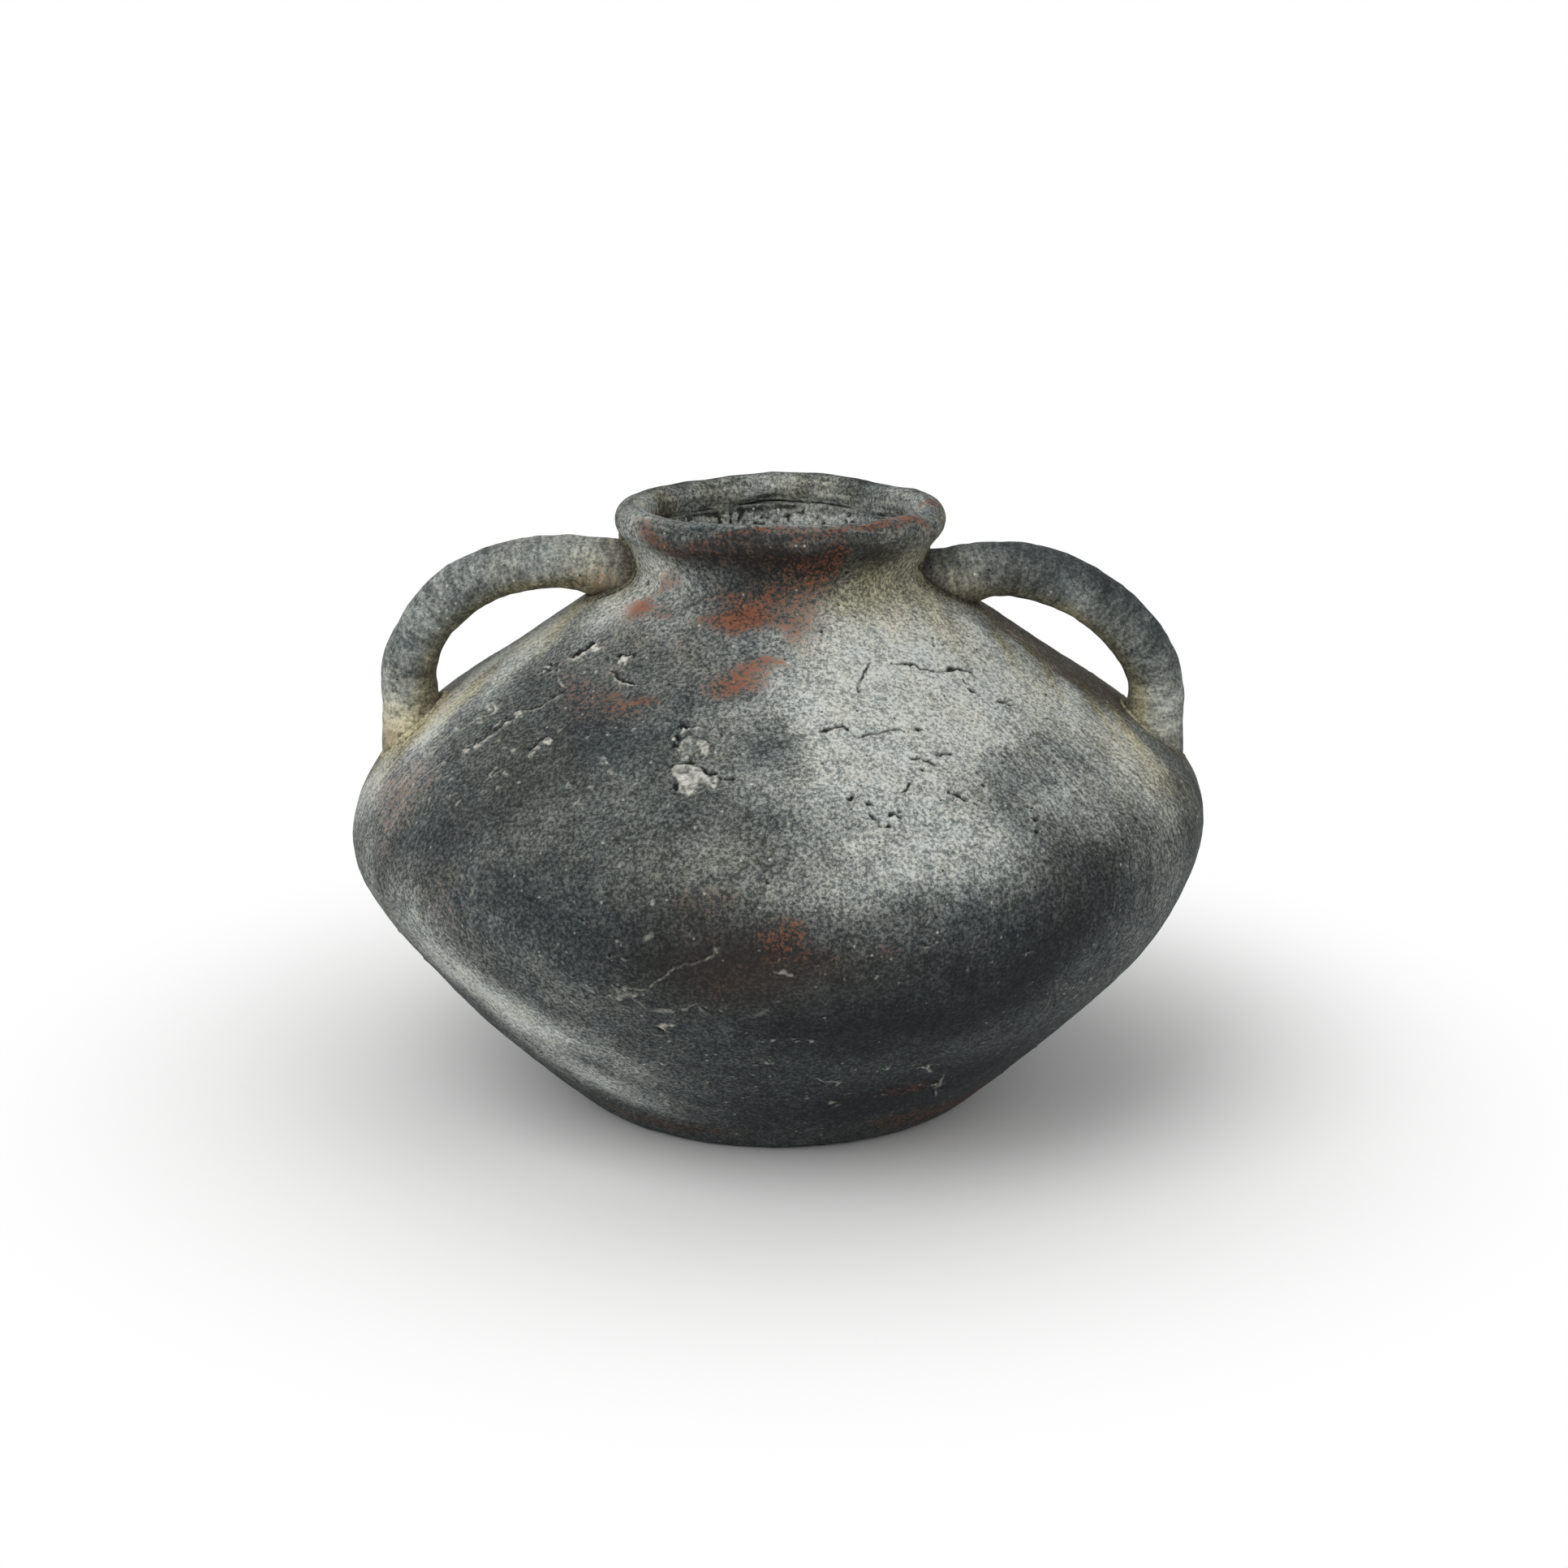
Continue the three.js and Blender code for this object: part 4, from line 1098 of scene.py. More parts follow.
base = {
    "chalk": 0.38, "chalkUp": 0.10, "upFrom": (90, 140), "chalkDown": -0.10, "downTo": (20, 70),
    "mouth": 0.17, "mouthFrom": (140, 146), "rustLumps": 0.9,
    "wanders": ((9, 31, 2.2), (4, 34, 0.9)),  # size, seed and reach of what frays the spots
    "leastDepth": 14,  # a spot reaches at least this far in and out of the skin
    "most": 0.855, "ease": 0.06,  # where chalk lies on chalk it gets no thicker than this
}


def spotWeights(points, normals, spots, place):
    total = np.zeros(len(points))
    for first, second, halfWidth, halfHeight, amount, *turn in spots:
        centre = place(first, second)
        right, up, out = localFrame(centre)
        turned = math.radians(turn[0] if turn else 0)
        along = right * math.cos(turned) + up * math.sin(turned)
        across = up * math.cos(turned) - right * math.sin(turned)
        away = points - centre
        distance = ((away @ along) / halfWidth) ** 2 + ((away @ across) / halfHeight) ** 2
        distance += ((away @ out) / max(halfWidth, halfHeight, base["leastDepth"])) ** 2
        facing = smoothStep(-0.1, 0.35, normals @ out)
        total += amount * facing * np.exp(-distance ** 1.25 * 0.8)
    return total


def bothSides(points, normals, front, behind):
    return spotWeights(points, normals, front, onPot) + spotWeights(points, normals, behind, atPot)


def shadeStripShare(points):
    strip, height, turn = shadeStripUnderHandle, points[:, 2], np.degrees(turnOf(points))
    wide, blur = strip["edgeWander"], strip["farEdgeBlur"]
    edge = np.interp(height, strip["heights"], strip["azimuths"]) + lumps(points, 5, 37) * wide
    farEdge = strip["farEdge"] - turn + strip["farEdgeWander"] * lumps(points, 9, 39)
    share = smoothStep(-wide, wide, turn - edge) * smoothStep(-blur, blur, farEdge)
    return share * smoothStep(*strip["fromHeight"], height) * (1 - smoothStep(*strip["toHeight"], height))


def zones(points, normals):
    fray = sum(wander(points, size, seed) * reach for size, seed, reach in base["wanders"])
    moved, height = points + fray, points[:, 2]
    chalk = base["chalk"] + base["chalkUp"] * smoothStep(*base["upFrom"], height)
    chalk = chalk + base["chalkDown"] * (1 - smoothStep(*base["downTo"], height))
    chalk = chalk + bothSides(moved, normals, chalkInFront, chalkBehind)
    chalk = chalk - bothSides(moved, normals, slateInFront, slateBehind)
    inward = -(normals[:, :2] * points[:, :2]).sum(axis=1) / radiusOf(points).clip(1)
    chalk = chalk + base["mouth"] * smoothStep(0, 0.6, inward) * smoothStep(*base["mouthFrom"], height)
    chalk = chalk - np.logaddexp(0, (chalk - base["most"]) / base["ease"]) * base["ease"]
    patchy = (1 + base["rustLumps"] * lumps(points, 6, 38)).clip(0.1)
    rust = spotWeights(moved, normals, rustInFront, onPot)
    rust = rust + spotWeights(moved, normals, rustBehind, atPot) * patchy
    olive = bothSides(moved, normals, oliveInFront, oliveBehind)
    shadeAndDirt = spotWeights(moved, normals, shadeAndDirtInFront, onPot)
    inMouth = smoothStep(0, 0.4, inward + 0.3 * normals[:, 2]) * (height > base["mouthFrom"][0])
    inMouth = {word: inMouth * mouthWeights(moved, spots) for word, spots in mouthSpots.items()}
    # the strip below the right handle is darkened with painted shade
    inShadeStrip = shadeStripShare(points)
    mottled = np.clip(0.80 + 0.22 * lumps(points, 2.6, 40), 0, 1)
    return {
        "chalk": chalk + inMouth["chalk"],
        "rust": rust,
        "olive": olive + inMouth["olive"] + shadeStripUnderHandle["olive"] * inShadeStrip,
        "shadeAndDirt": np.maximum(shadeAndDirt + inMouth["shadeAndDirt"], shadeStripUnderHandle["colourShare"] * inShadeStrip * mottled),
    }


# The lower roots are smoothed and brushed pale, and the crease of the upper ones gets painted shade.
# The gap is an open black line between the coil and the slip.
roots = {
    "left_upper": {"paintedShade": 1.0, "chalk": 0.34, "gap": 0.35},
    "left_lower": {"paintedShade": 0.15, "chalk": 0.66, "gap": 0.0},
    "right_upper": {"paintedShade": 1.3, "chalk": 0.30, "gap": 1.0},
    "right_lower": {"paintedShade": 0.7, "chalk": 0.50, "gap": 0.0},
}
rootReach = {"search": 14, "olive": 5.5, "paintedShade": 1.5}


def rootStains(points):  # olive slip round the handles' roots, and painted shade in their creases
    olive, creaseShade = np.zeros((2, len(points)))
    for name, loop in rootLoops.items():
        near = np.where(inBox(points, loop, rootReach["search"]))[0]
        if len(near):
            distance = lineDistance(points[near], loop, np.roll(loop, -1, axis=0))
            atLeast(olive, near, np.exp(-distance / rootReach["olive"]))
            atLeast(creaseShade, near, roots[name]["paintedShade"] * np.exp(-(distance / rootReach["paintedShade"]) ** 2))
    return olive, creaseShade


# Meshes


def addAttributes(mesh, fields):  # one number for each point, or one for all
    for name, values in fields.items():
        values = np.broadcast_to(values, len(mesh.vertices))
        attribute = mesh.attributes.new(name, "FLOAT", "POINT")
        attribute.data.foreach_set("value", np.ascontiguousarray(values, np.float32))


def addBrushPlace(mesh, places):  # a stretched place in mm, for strokes that run one way
    attribute = mesh.attributes.new("brush", "FLOAT_VECTOR", "POINT")
    attribute.data.foreach_set("vector", np.ascontiguousarray(places * millimetre, np.float32).ravel())


def coordinates(mesh):
    values = np.zeros(len(mesh.vertices) * 3, np.float32)
    mesh.vertices.foreach_get("co", values)
    return values.reshape(-1, 3).astype(float)


def setPlaces(mesh, points):
    mesh.vertices.foreach_set("co", (points * millimetre).ravel())


def finishMesh(mesh, sharpAngle, weld=2e-6):
    work = bmesh.new()
    work.from_mesh(mesh)
    bmesh.ops.remove_doubles(work, verts=work.verts, dist=weld)
    bmesh.ops.recalc_face_normals(work, faces=work.faces)
    work.to_mesh(mesh)
    work.free()
    mesh.polygons.foreach_set("use_smooth", [True] * len(mesh.polygons))
    mesh.set_sharp_from_angle(angle=math.radians(sharpAngle))
    mesh.update()


def gridMesh(name, columns, rows):
    across, along = np.meshgrid(np.arange(columns + 1), np.arange(rows + 1))
    vertices = np.stack([across.ravel(), along.ravel(), np.zeros(across.size)], axis=1)
    corner = (np.arange(rows)[:, None] * (columns + 1) + np.arange(columns)).ravel()
    faces = np.stack([corner, corner + 1, corner + columns + 2, corner + columns + 1], axis=1)
    mesh = bpy.data.meshes.new(name)
    mesh.from_pydata(vertices.tolist(), [], faces.tolist())
    return mesh


wallMesh = {
    "columns": 480,
    "outsideStep": 1.3,
    "insideStep": 6,
    "finer": (1.7, 0.75),  # faces this near to a mark are halved, once for each
    "seamColumns": 4,  # but not beside the line where the grid closes
    "seamRows": 1.5,
    "grain": ((2.4, 0.10), (6, 0.16)),
    "rootOlive": 0.8,
    "rootCreaseShade": 0.75,
    "strokeRadius": 100,
    "strokeStretch": 0.16,
    "ringStrokes": 0.84,
    "mouthDepth": 3,
    "almostAll": 0.99,  # a share of relief that still leaves a section its own normals
}


class Ring:  # one closed band of wall: its section line, and how much relief each point of it carries
    def __init__(self):
        self.line, self.share = [], []

    def add(self, line, step, share):
        points = evenly(np.array(line, float), step)
        shares = np.full(len(points), float(share))
        self.line.append(points if not self.line else points[1:])
        self.share.append(shares if not self.share else shares[1:])
        return self

    def closed(self):
        line, share = np.concatenate(self.line), np.concatenate(self.share)
        if line[0, 0] > 0:  # a ring ends where it starts, and a disc ends on the pot's axis
            line[-1], share[-1] = line[0], share[0]
        return line, share


def sectionNormals(line, share):  # the skin's own where it shows, so that neighbours agree on a seam
    normals = lineNormals(line, 1e-9)
    skin = np.concatenate([outside, roll[1:]])
    skinNormals = lineNormals(skin)
    for index, point in enumerate(line):
        if share[index] == 1:
            normals[index] = skinNormals[np.argmin(((skin - point) ** 2).sum(axis=1))]
    return normals


def spun(section, grid):  # place, normal and share of relief at each point of the grid
    turn = (grid[:, 0] / wallMesh["columns"]) * 2 * math.pi - math.pi
    radius, height, outR, outZ, share = sampled(section, grid[:, 1]).T
    return spin(turn, radius, height), spin(turn, outR, outZ), share


def refine(mesh, section):  # finer faces near the cracks, pits and plates
    columns, rows = wallMesh["columns"], len(section) - 1
    beside, under = wallMesh["seamColumns"], wallMesh["seamRows"]
    work = bmesh.new()
    work.from_mesh(mesh)
    for margin in wallMesh["finer"]:
        faces = [f for f in work.faces if len(f.verts) == 4]
        middles = np.array([f.calc_center_median()[:] for f in faces])
        points, normal, carried = spun(section, middles)
        wanted = (carried > 0.5) & (middles[:, 0] > beside) & (middles[:, 0] < columns - beside)
        wanted &= (middles[:, 1] > under) & (middles[:, 1] < rows - under)
        busy = np.zeros(len(faces), bool)
        busy[wanted] = isBusy(points[wanted], margin)
        edges = {edge for face, flag in zip(faces, busy) if flag for edge in face.edges}
        if edges:
            bmesh.ops.subdivide_edges(work, edges=list(edges), cuts=1, use_grid_fill=True)
    work.to_mesh(mesh)
    work.free()


def wallStrokes(points):  # upright strokes on the wall, but on the rim and in the mouth they go round
    turn, radius, height = turnOf(points), radiusOf(points), points[:, 2]
    upright = spin(turn, wallMesh["strokeRadius"], height * wallMesh["strokeStretch"])
    inMouth = radius < outerRadius(height) - wallMesh["mouthDepth"]
    goesRound = (height > pot["rimRoll"]["seat"] - 0.01) | inMouth
    around = spin(turn, radius - wallMesh["ringStrokes"] * pot["throatRadius"], height)
    return np.where(goesRound[:, None], around, upright)


def buildRing(name, ring):
    line, share = ring.closed()
    section = np.column_stack([line, sectionNormals(line, share), share])
    mesh = gridMesh(name, wallMesh["columns"], len(line) - 1)
    refine(mesh, section)
    points, normal, carried = spun(section, coordinates(mesh))
    fields = zones(points, normal)
    # olive slip round the handles' roots, and painted shade in their creases
    rootOlive, creaseShade = rootStains(points)
    rise, hollow, chalkAndHighlight = relief(points)
    grain = layered(points, 51, *wallMesh["grain"])
    setPlaces(mesh, shapedByHand(points + normal * ((rise + grain) * carried)[:, None]))
    fields["olive"] = np.clip(fields["olive"] + wallMesh["rootOlive"] * rootOlive, 0, 1)
    fields["shadeAndDirt"] = np.clip(fields["shadeAndDirt"] + wallMesh["rootCreaseShade"] * creaseShade, 0, 1)
    fields["hollow"], fields["chalkAndHighlight"] = hollow * carried, chalkAndHighlight * carried
    addAttributes(mesh, {**fields, "streak": streakiness(points, normal)})
    addBrushPlace(mesh, wallStrokes(points))
    finishMesh(mesh, 62)
    print(f"{name}: {len(mesh.polygons)} faces")
    return mesh


streaks = {
    # how strongly the dry brush shows its way, by place in the photograph
    "spots": [
        (540, 880, 34, 12, 0.9, -38), (775, 725, 10, 12, 0.8), (1110, 735, 12, 12, 0.8),
        (470, 990, 16, 30, 0.9), (1350, 950, 26, 24, 0.9), (1440, 1010, 18, 26, 0.9),
        (1240, 930, 18, 18, 0.5), (1190, 1180, 16, 16, 0.8), (560, 1180, 26, 14, 0.6, -40),
        (1360, 1120, 20, 18, 0.6), (660, 800, 26, 8, 0.7, -35),
    ],
    "sidesAndBack": 0.45,
    "rim": 0.9,
    "rimFrom": (155, 159),
    "sideFrom": (1.4, 1.9),  # radians from the front
}


def streakiness(points, normals):
    front = spotWeights(points, normals, streaks["spots"], onPot)
    onRim = smoothStep(*streaks["rimFrom"], points[:, 2]) * streaks["rim"]
    onSides = streaks["sidesAndBack"] * smoothStep(*streaks["sideFrom"], np.abs(turnOf(points)))
    return np.clip(front + onRim + onSides, 0, 1)


def addObject(name, data):
    made = bpy.data.objects.new(name, data)
    bpy.context.scene.collection.objects.link(made)
    return made


def addPiece(name, mesh, node, slotName):
    piece = addObject(name, mesh)
    mesh.materials.append(finishes[slotName])
    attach(piece, "root")
    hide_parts(node)


# Wall pieces, each a closed band between two seams

seams = {
    "lip": 1.5, "recess": 0.15, "step": 2.5,
    "footStep": 3.0, "footTopStep": 4.0, "footChamfer": (1.2, 0.2, 0.6),
    "neckStep": 0.8, "neckInnerStep": 0.6,
    "rollStep": 0.62, "rollSeatStep": 1.6, "rollSeat": (0.6, -0.8),
}


def seamLine(outerPoint, innerPoint, recess):  # a joint face, let in a little so that two never touch
    inward = (innerPoint - outerPoint) / np.linalg.norm(innerPoint - outerPoint)
    letIn = np.array([0, recess])
    return np.array([outerPoint, outerPoint + inward * seams["lip"] + letIn, innerPoint + letIn])


def wallRing(low, high, riseLow, riseHigh):
    recess = seams["recess"]
    top = seamLine(pointAt(outside, high), pointAt(inside, high + riseHigh), -recess)
    foot = seamLine(pointAt(outside, low), pointAt(inside, low + riseLow), recess)
    ring = Ring()
    ring.add(cutLine(outside, low, high), wallMesh["outsideStep"], 1)
    ring.add(top, seams["step"], 0)
    innerWall = cutLine(inside, low + riseLow + recess, high + riseHigh - recess)[::-1]
    ring.add(innerWall, wallMesh["insideStep"], 0)
    return ring.add(foot[::-1], seams["step"], 0)


def footRing():
    recess, recessTop, step = pot["recessRadius"], pot["recessDepth"], seams["footStep"]
    wide, narrow, share = seams["footChamfer"]
    chamfer = [(recess - wide, recessTop), (recess - narrow, recessTop * share)]
    edge, top = pointAt(outside, pot["floor"]), pot["floor"] - seams["recess"]
    ring = Ring()
    ring.add([(0, recessTop), *chamfer, (recess, 0)], step, 0)
    ring.add([(recess, 0), (pot["footRadius"], 0)], step, 0)
    ring.add(cutLine(outside, 0.001, pot["floor"]), wallMesh["outsideStep"], 1)
    return ring.add([edge, (edge[0] - seams["lip"], top), (0, top)], seams["footTopStep"], 0)


def neckRing():
    low, high, recess = pot["neckRootHeight"], pot["rimRoll"]["seat"], seams["recess"]
    lip, innerLow = outside[-1], low + pot["scarfRise"]
    top = [lip, lip + np.array([-seams["lip"], -recess]), pointAt(inside, high - recess)]
    innerWall = cutLine(inside, innerLow + recess, high - recess)[::-1]
    ring = Ring()
    ring.add(cutLine(outside, low, high), wallMesh["outsideStep"] * seams["neckStep"], 1)
    ring.add(top, seams["step"], 0)
    ring.add(innerWall, seams["neckInnerStep"], wallMesh["almostAll"])
    foot = seamLine(pointAt(outside, low), pointAt(inside, innerLow), recess)
    return ring.add(foot[::-1], seams["step"], 0)


def rimRing():
    first, last, recess = roll[0], roll[-1], seams["recess"]
    inner, outer = seams["rollSeat"]
    seat = [last, last + np.array([inner, recess]), first + np.array([outer, recess]), first]
    return Ring().add(roll, seams["rollStep"], 1).add(seat, seams["rollSeatStep"], 0)


# What each finish is made of

def hexToLinear(code):
    values = [int(code[k:k + 2], 16) / 255 for k in (1, 3, 5)]
    return tuple(v / 12.92 if v <= 0.04045 else ((v + 0.055) / 1.055) ** 2.4 for v in values) + (1,)


def addNode(tree, kind, inputs=None, **settings):
    node = tree.nodes.new(kind)
    for name, value in settings.items():
        setattr(node, name, value)
    for socket, value in (inputs or {}).items():
        if isinstance(value, bpy.types.NodeSocket):
            tree.links.new(value, node.inputs[socket])
        else:
            node.inputs[socket].default_value = value
    return node


# Fired earthenware, painted matt slate and dry-brushed with chalk paint, sanded back in places.
# To the eye it is dead flat, with a salt-and-pepper grain from the brush catching every bump,
# soft clouds where the brush passed twice, and bare red clay where the paint is worn through.
weathered = {
    "tones": (
        (0.00, "#16191b"), (0.20, "#303537"), (0.40, "#555a59"), (0.60, "#868a88"),
        (0.80, "#b7bab4"), (1.00, "#e2e3de"),
    ),
    "grainMm": 1.0,  # the real grain is 0.3 to 0.7 mm, drawn coarser to show
    "clumpMm": 4.2,
    "cloudMm": 17,
    "driftMm": 11,
    "brushMm": 1.6,
    "grain": 0.52,
    "grainRange": (0.37, 0.63),
    "clump": 0.45,
    "cloud": 0.28,
    "brush": 0.8,
    "cool": "#eff3f5",
    "warm": "#f4f3ee",
    "rustDeep": "#4a2e22",
    "rust": "#a5694c",
    "rustWash": "#7d5a46",
    "olive": "#70694c",
    # the dark brown and the near black are painted shade, the pale one chalk with painted highlights
    "shadeAndDirtColour": "#393029",
    "hollowColour": "#110f0d",
    "chalkAndHighlightColour": "#dbd9cf",
    "contrast": (0.5, 0.52),  # the grain is louder on pale chalk: by its amount, and at least
    "driftRange": (0.38, 0.62),
    "oliveMost": 0.7,
    "washMost": 0.6,
    "clumpBreak": (0.9, -0.95),  # clumps and grain break up the worn places
    "wornEdge": (0.48, 0.60),
    "wornMost": 0.9,
    "wornFrom": (0.04, 0.22),
    "shadeAndDirtGrain": (-0.34, 1.08),
    "chalkAndHighlightGrain": (0.55, 0.55),
    "hollowMost": 0.95,
    "pinholeMm": 2.3,
    "holeEdge": (0.10, 0.17),
    "holeAbove": 0.74,  # a quarter of the cells hold a pinhole, a sixth a white speck
    "holeMost": 0.75,
    "speckEdge": (0.12, 0.20),
    "speckBelow": 0.16,
    "roughness": 0.93,
    "specular": 0.35,
    "ior": 1.45,
    "bumpMm": 0.32,
    "bump": 0.9,
    "bumpClump": 0.7,
    "bumpHole": -0.8,
}


def paintSteps(look):
    # each row: what it is called, what is done, and the numbers or earlier rows that it is done with
    return (
        # how much chalk the brush left: the zone's amount, with grain, clumps, clouds and strokes
        ("grain", "SMOOTHSTEP", "grainNoise", *look["grainRange"]),
        ("grainMiddle", "SUBTRACT", "grain", 0.5),
        ("clumpMiddle", "SUBTRACT", "clumpNoise", 0.5),
        ("cloudMiddle", "SUBTRACT", "cloudNoise", 0.5),
        ("brushMiddle", "SUBTRACT", "brushNoise", 0.5),
        ("uneven", "MULTIPLY_ADD", "grainMiddle", look["grain"], 0),
        ("uneven", "MULTIPLY_ADD", "clumpMiddle", look["clump"], "uneven"),
        ("uneven", "MULTIPLY_ADD", "cloudMiddle", look["cloud"], "uneven"),
        ("strokes", "MULTIPLY", "brushMiddle", look["brush"]),
        ("uneven", "MULTIPLY_ADD", "strokes", "streak", "uneven"),
        ("loudness", "MULTIPLY_ADD", "chalk", *look["contrast"]),
        ("cover", "MULTIPLY_ADD", "uneven", "loudness", "chalk"),
        ("drift", "LINEAR", "driftNoise", *look["driftRange"]),
        ("oliveShare", "MULTIPLY", "olive", look["oliveMost"]),
        ("washShare", "MULTIPLY", "rust", look["washMost"]),
        # bare clay, broken up by the clumps and the grain
        ("broken", "MULTIPLY_ADD", "clumpNoise", *look["clumpBreak"]),
        ("broken", "MULTIPLY_ADD", "grain", 1, "broken"),
        ("worn", "ADD", "rust", "broken"),
        ("worn", "LINEAR", "worn", *look["wornEdge"], 0, look["wornMost"]),
        ("anyRust", "LINEAR", "rust", *look["wornFrom"]),
        ("worn", "MULTIPLY", "worn", "anyRust"),
        # painted shade, and the chalk with a painted highlight that edges catch
        ("shadeAndDirtGrain", "MULTIPLY_ADD", "grain", *look["shadeAndDirtGrain"]),
        ("shadeAndDirtShare", "MULTIPLY", "shadeAndDirt", "shadeAndDirtGrain"),
        ("catches", "MULTIPLY_ADD", "grain", *look["chalkAndHighlightGrain"]),
        ("chalkAndHighlightShare", "MULTIPLY", "chalkAndHighlight", "catches"),
        ("hollowShare", "MULTIPLY", "hollow", look["hollowMost"]),
        # pinholes left by gas and grit, and white specks
        ("hole", "LINEAR", "fromPinhole", *look["holeEdge"], 1, 0),
        ("isHole", "GREATER_THAN", "cellDraw", look["holeAbove"]),
        ("hole", "MULTIPLY", "hole", "isHole"),
        ("holeTint", "MULTIPLY", "hole", look["holeMost"]),
        ("speck", "LINEAR", "fromPinhole", *look["speckEdge"], 1, 0),
        ("isSpeck", "LESS_THAN", "cellDraw", look["speckBelow"]),
        ("speck", "MULTIPLY", "speck", "isSpeck"),
        ("speckShare", "MULTIPLY", "speck", "cover"),
        ("height", "MULTIPLY_ADD", "clumpNoise", look["bumpClump"], "grainNoise"),
        ("height", "MULTIPLY_ADD", "hole", look["bumpHole"], "height"),
    )


def weatheredPaint(name, **changes):
    look = {**weathered, **changes}
    material = bpy.data.materials.new(name)
    material.use_nodes = True
    tree = material.node_tree
    tree.nodes.clear()
    place = addNode(tree, "ShaderNodeTexCoord").outputs["Object"]
    brushPlace = addNode(tree, "ShaderNodeAttribute", attribute_name="brush").outputs["Vector"]
    value = {
        word: addNode(tree, "ShaderNodeAttribute", attribute_name=word).outputs["Fac"]
        for word in ("chalk", "rust", "olive", "shadeAndDirt", "hollow", "chalkAndHighlight", "streak")
    }
    for word, source, detail, rough in (
        ("grain", place, 4, 0.8), ("clump", place, 3, 0.6), ("cloud", place, 2, 0.5),
        ("drift", place, 6, 0.7), ("brush", brushPlace, 3, 0.6),
    ):
        value[word + "Noise"] = addNode(tree, "ShaderNodeTexNoise", {
            "Vector": source, "Scale": 1000 / look[word + "Mm"], "Detail": detail, "Roughness": rough,
        }).outputs["Fac"]
    cells = addNode(tree, "ShaderNodeTexVoronoi", {"Vector": place, "Scale": 1000 / look["pinholeMm"]})
    value["fromPinhole"] = cells.outputs["Distance"]
    value["cellDraw"] = addNode(tree, "ShaderNodeSeparateColor", {0: cells.outputs["Color"]}).outputs[0]

    for word, way, *terms in paintSteps(look):
        inputs = {k: value.get(term, term) for k, term in enumerate(terms)}
        if way in ("LINEAR", "SMOOTHSTEP"):
            made = addNode(tree, "ShaderNodeMapRange", inputs, interpolation_type=way)
        else:
            clamps = word.endswith("Share")
            made = addNode(tree, "ShaderNodeMath", inputs, operation=way, use_clamp=clamps)
        value[word] = made.outputs[0]

    ramp = addNode(tree, "ShaderNodeValToRGB", {"Fac": value["cover"]})
    stops = ramp.color_ramp.elements
    while len(stops) < len(look["tones"]):
        stops.new(0.5)
    for stop, (position, code) in zip(stops, look["tones"]):
        stop.position = position
        stop.color = hexToLinear(code)
    mixed = {}
    for word, dark, pale in (("drift", "cool", "warm"), ("cover", "rustDeep", "rust")):
        inputs = {0: value[word], 6: hexToLinear(look[dark]), 7: hexToLinear(look[pale])}
        mixed[word] = addNode(tree, "ShaderNodeMix", inputs, data_type="RGBA").outputs[2]
    colour = ramp.outputs["Color"]
    for share, layer, blend in (
        (1.0, mixed["drift"], "MULTIPLY"),  # the paint drifts between a cool and a warm grey
        (value["oliveShare"], "olive", "COLOR"),  # an olive wash changes the hue and hardly the tone
        (value["washShare"], "rustWash", "COLOR"),  # round the worn places the paint is stained brown
        (value["worn"], mixed["cover"], "MIX"),  # bare clay where the paint is rubbed through
        (value["shadeAndDirtShare"], "shadeAndDirtColour", "MIX"),  # painted shade in creases, under the rim and below the right handle, and some dirt
        (value["chalkAndHighlightShare"], "chalkAndHighlightColour", "MIX"),
        (value["hollowShare"], "hollowColour", "MIX"),  # painted shade, near black, in the cracks, pits and gaps, and painted shadows beside lumps
        (value["speckShare"], "chalkAndHighlightColour", "MIX"),
        (value["holeTint"], "hollowColour", "MIX"),
    ):
        layer = hexToLinear(look[layer]) if isinstance(layer, str) else layer
        colour = addNode(tree, "ShaderNodeMix", {
            0: share, 6: colour, 7: layer}, data_type="RGBA", blend_type=blend).outputs[2]

    bump = addNode(tree, "ShaderNodeBump", {
        "Height": value["height"], "Strength": look["bump"], "Distance": look["bumpMm"] * millimetre})
    skin = addNode(tree, "ShaderNodeBsdfPrincipled", {
        "Base Color": colour, "Roughness": look["roughness"], "IOR": look["ior"],
        "Specular IOR Level": look["specular"], "Normal": bump.outputs["Normal"]})
    addNode(tree, "ShaderNodeOutputMaterial", {"Surface": skin.outputs[0]})
    return material


finishes = {
    "slate_bowl": weatheredPaint("slatePaintBrushedWithChalk"),
    "chalked_shoulder": weatheredPaint("chalkBrushedOverSlatePaint"),
    "terracotta_neck": weatheredPaint("slatePaintWornToTerracotta"),
    "grey_rim": weatheredPaint("slatePaintOnRolledRim"),
    "dry_brushed_handle": weatheredPaint(
        "slatePaintBrushedAcrossCoil", brush=1.0, cloudMm=12, grain=0.34, clump=0.5, cloud=0.4),
    "olive_slip": weatheredPaint("oliveWashInCrease", olive="#6c6341"),
}
print("materials made")

lowSeam, bandSeam, bellySeam, topSeam = (
    pot[word] for word in ("floor", "bandSeam", "bellySeam", "neckRootHeight"))
rise = pot["scarfRise"]
wallPieces = (
    ("footSlab", "foot_slab", "slate_bowl", footRing()),
    ("lowerBowl", "lower_bowl", "slate_bowl", wallRing(lowSeam, bandSeam, 0, rise)),
    ("bellyBand", "belly_band", "slate_bowl", wallRing(bandSeam, bellySeam, rise, rise)),
    ("shoulderWall", "shoulder", "chalked_shoulder", wallRing(bellySeam, topSeam, rise, rise)),
    ("neckCollar", "neck_collar", "terracotta_neck", neckRing()),
    ("rimCoil", "rim_coil", "grey_rim", rimRing()),
)
for name, node, slotName, ring in wallPieces:
    addPiece(name, buildRing(name, ring), node, slotName)


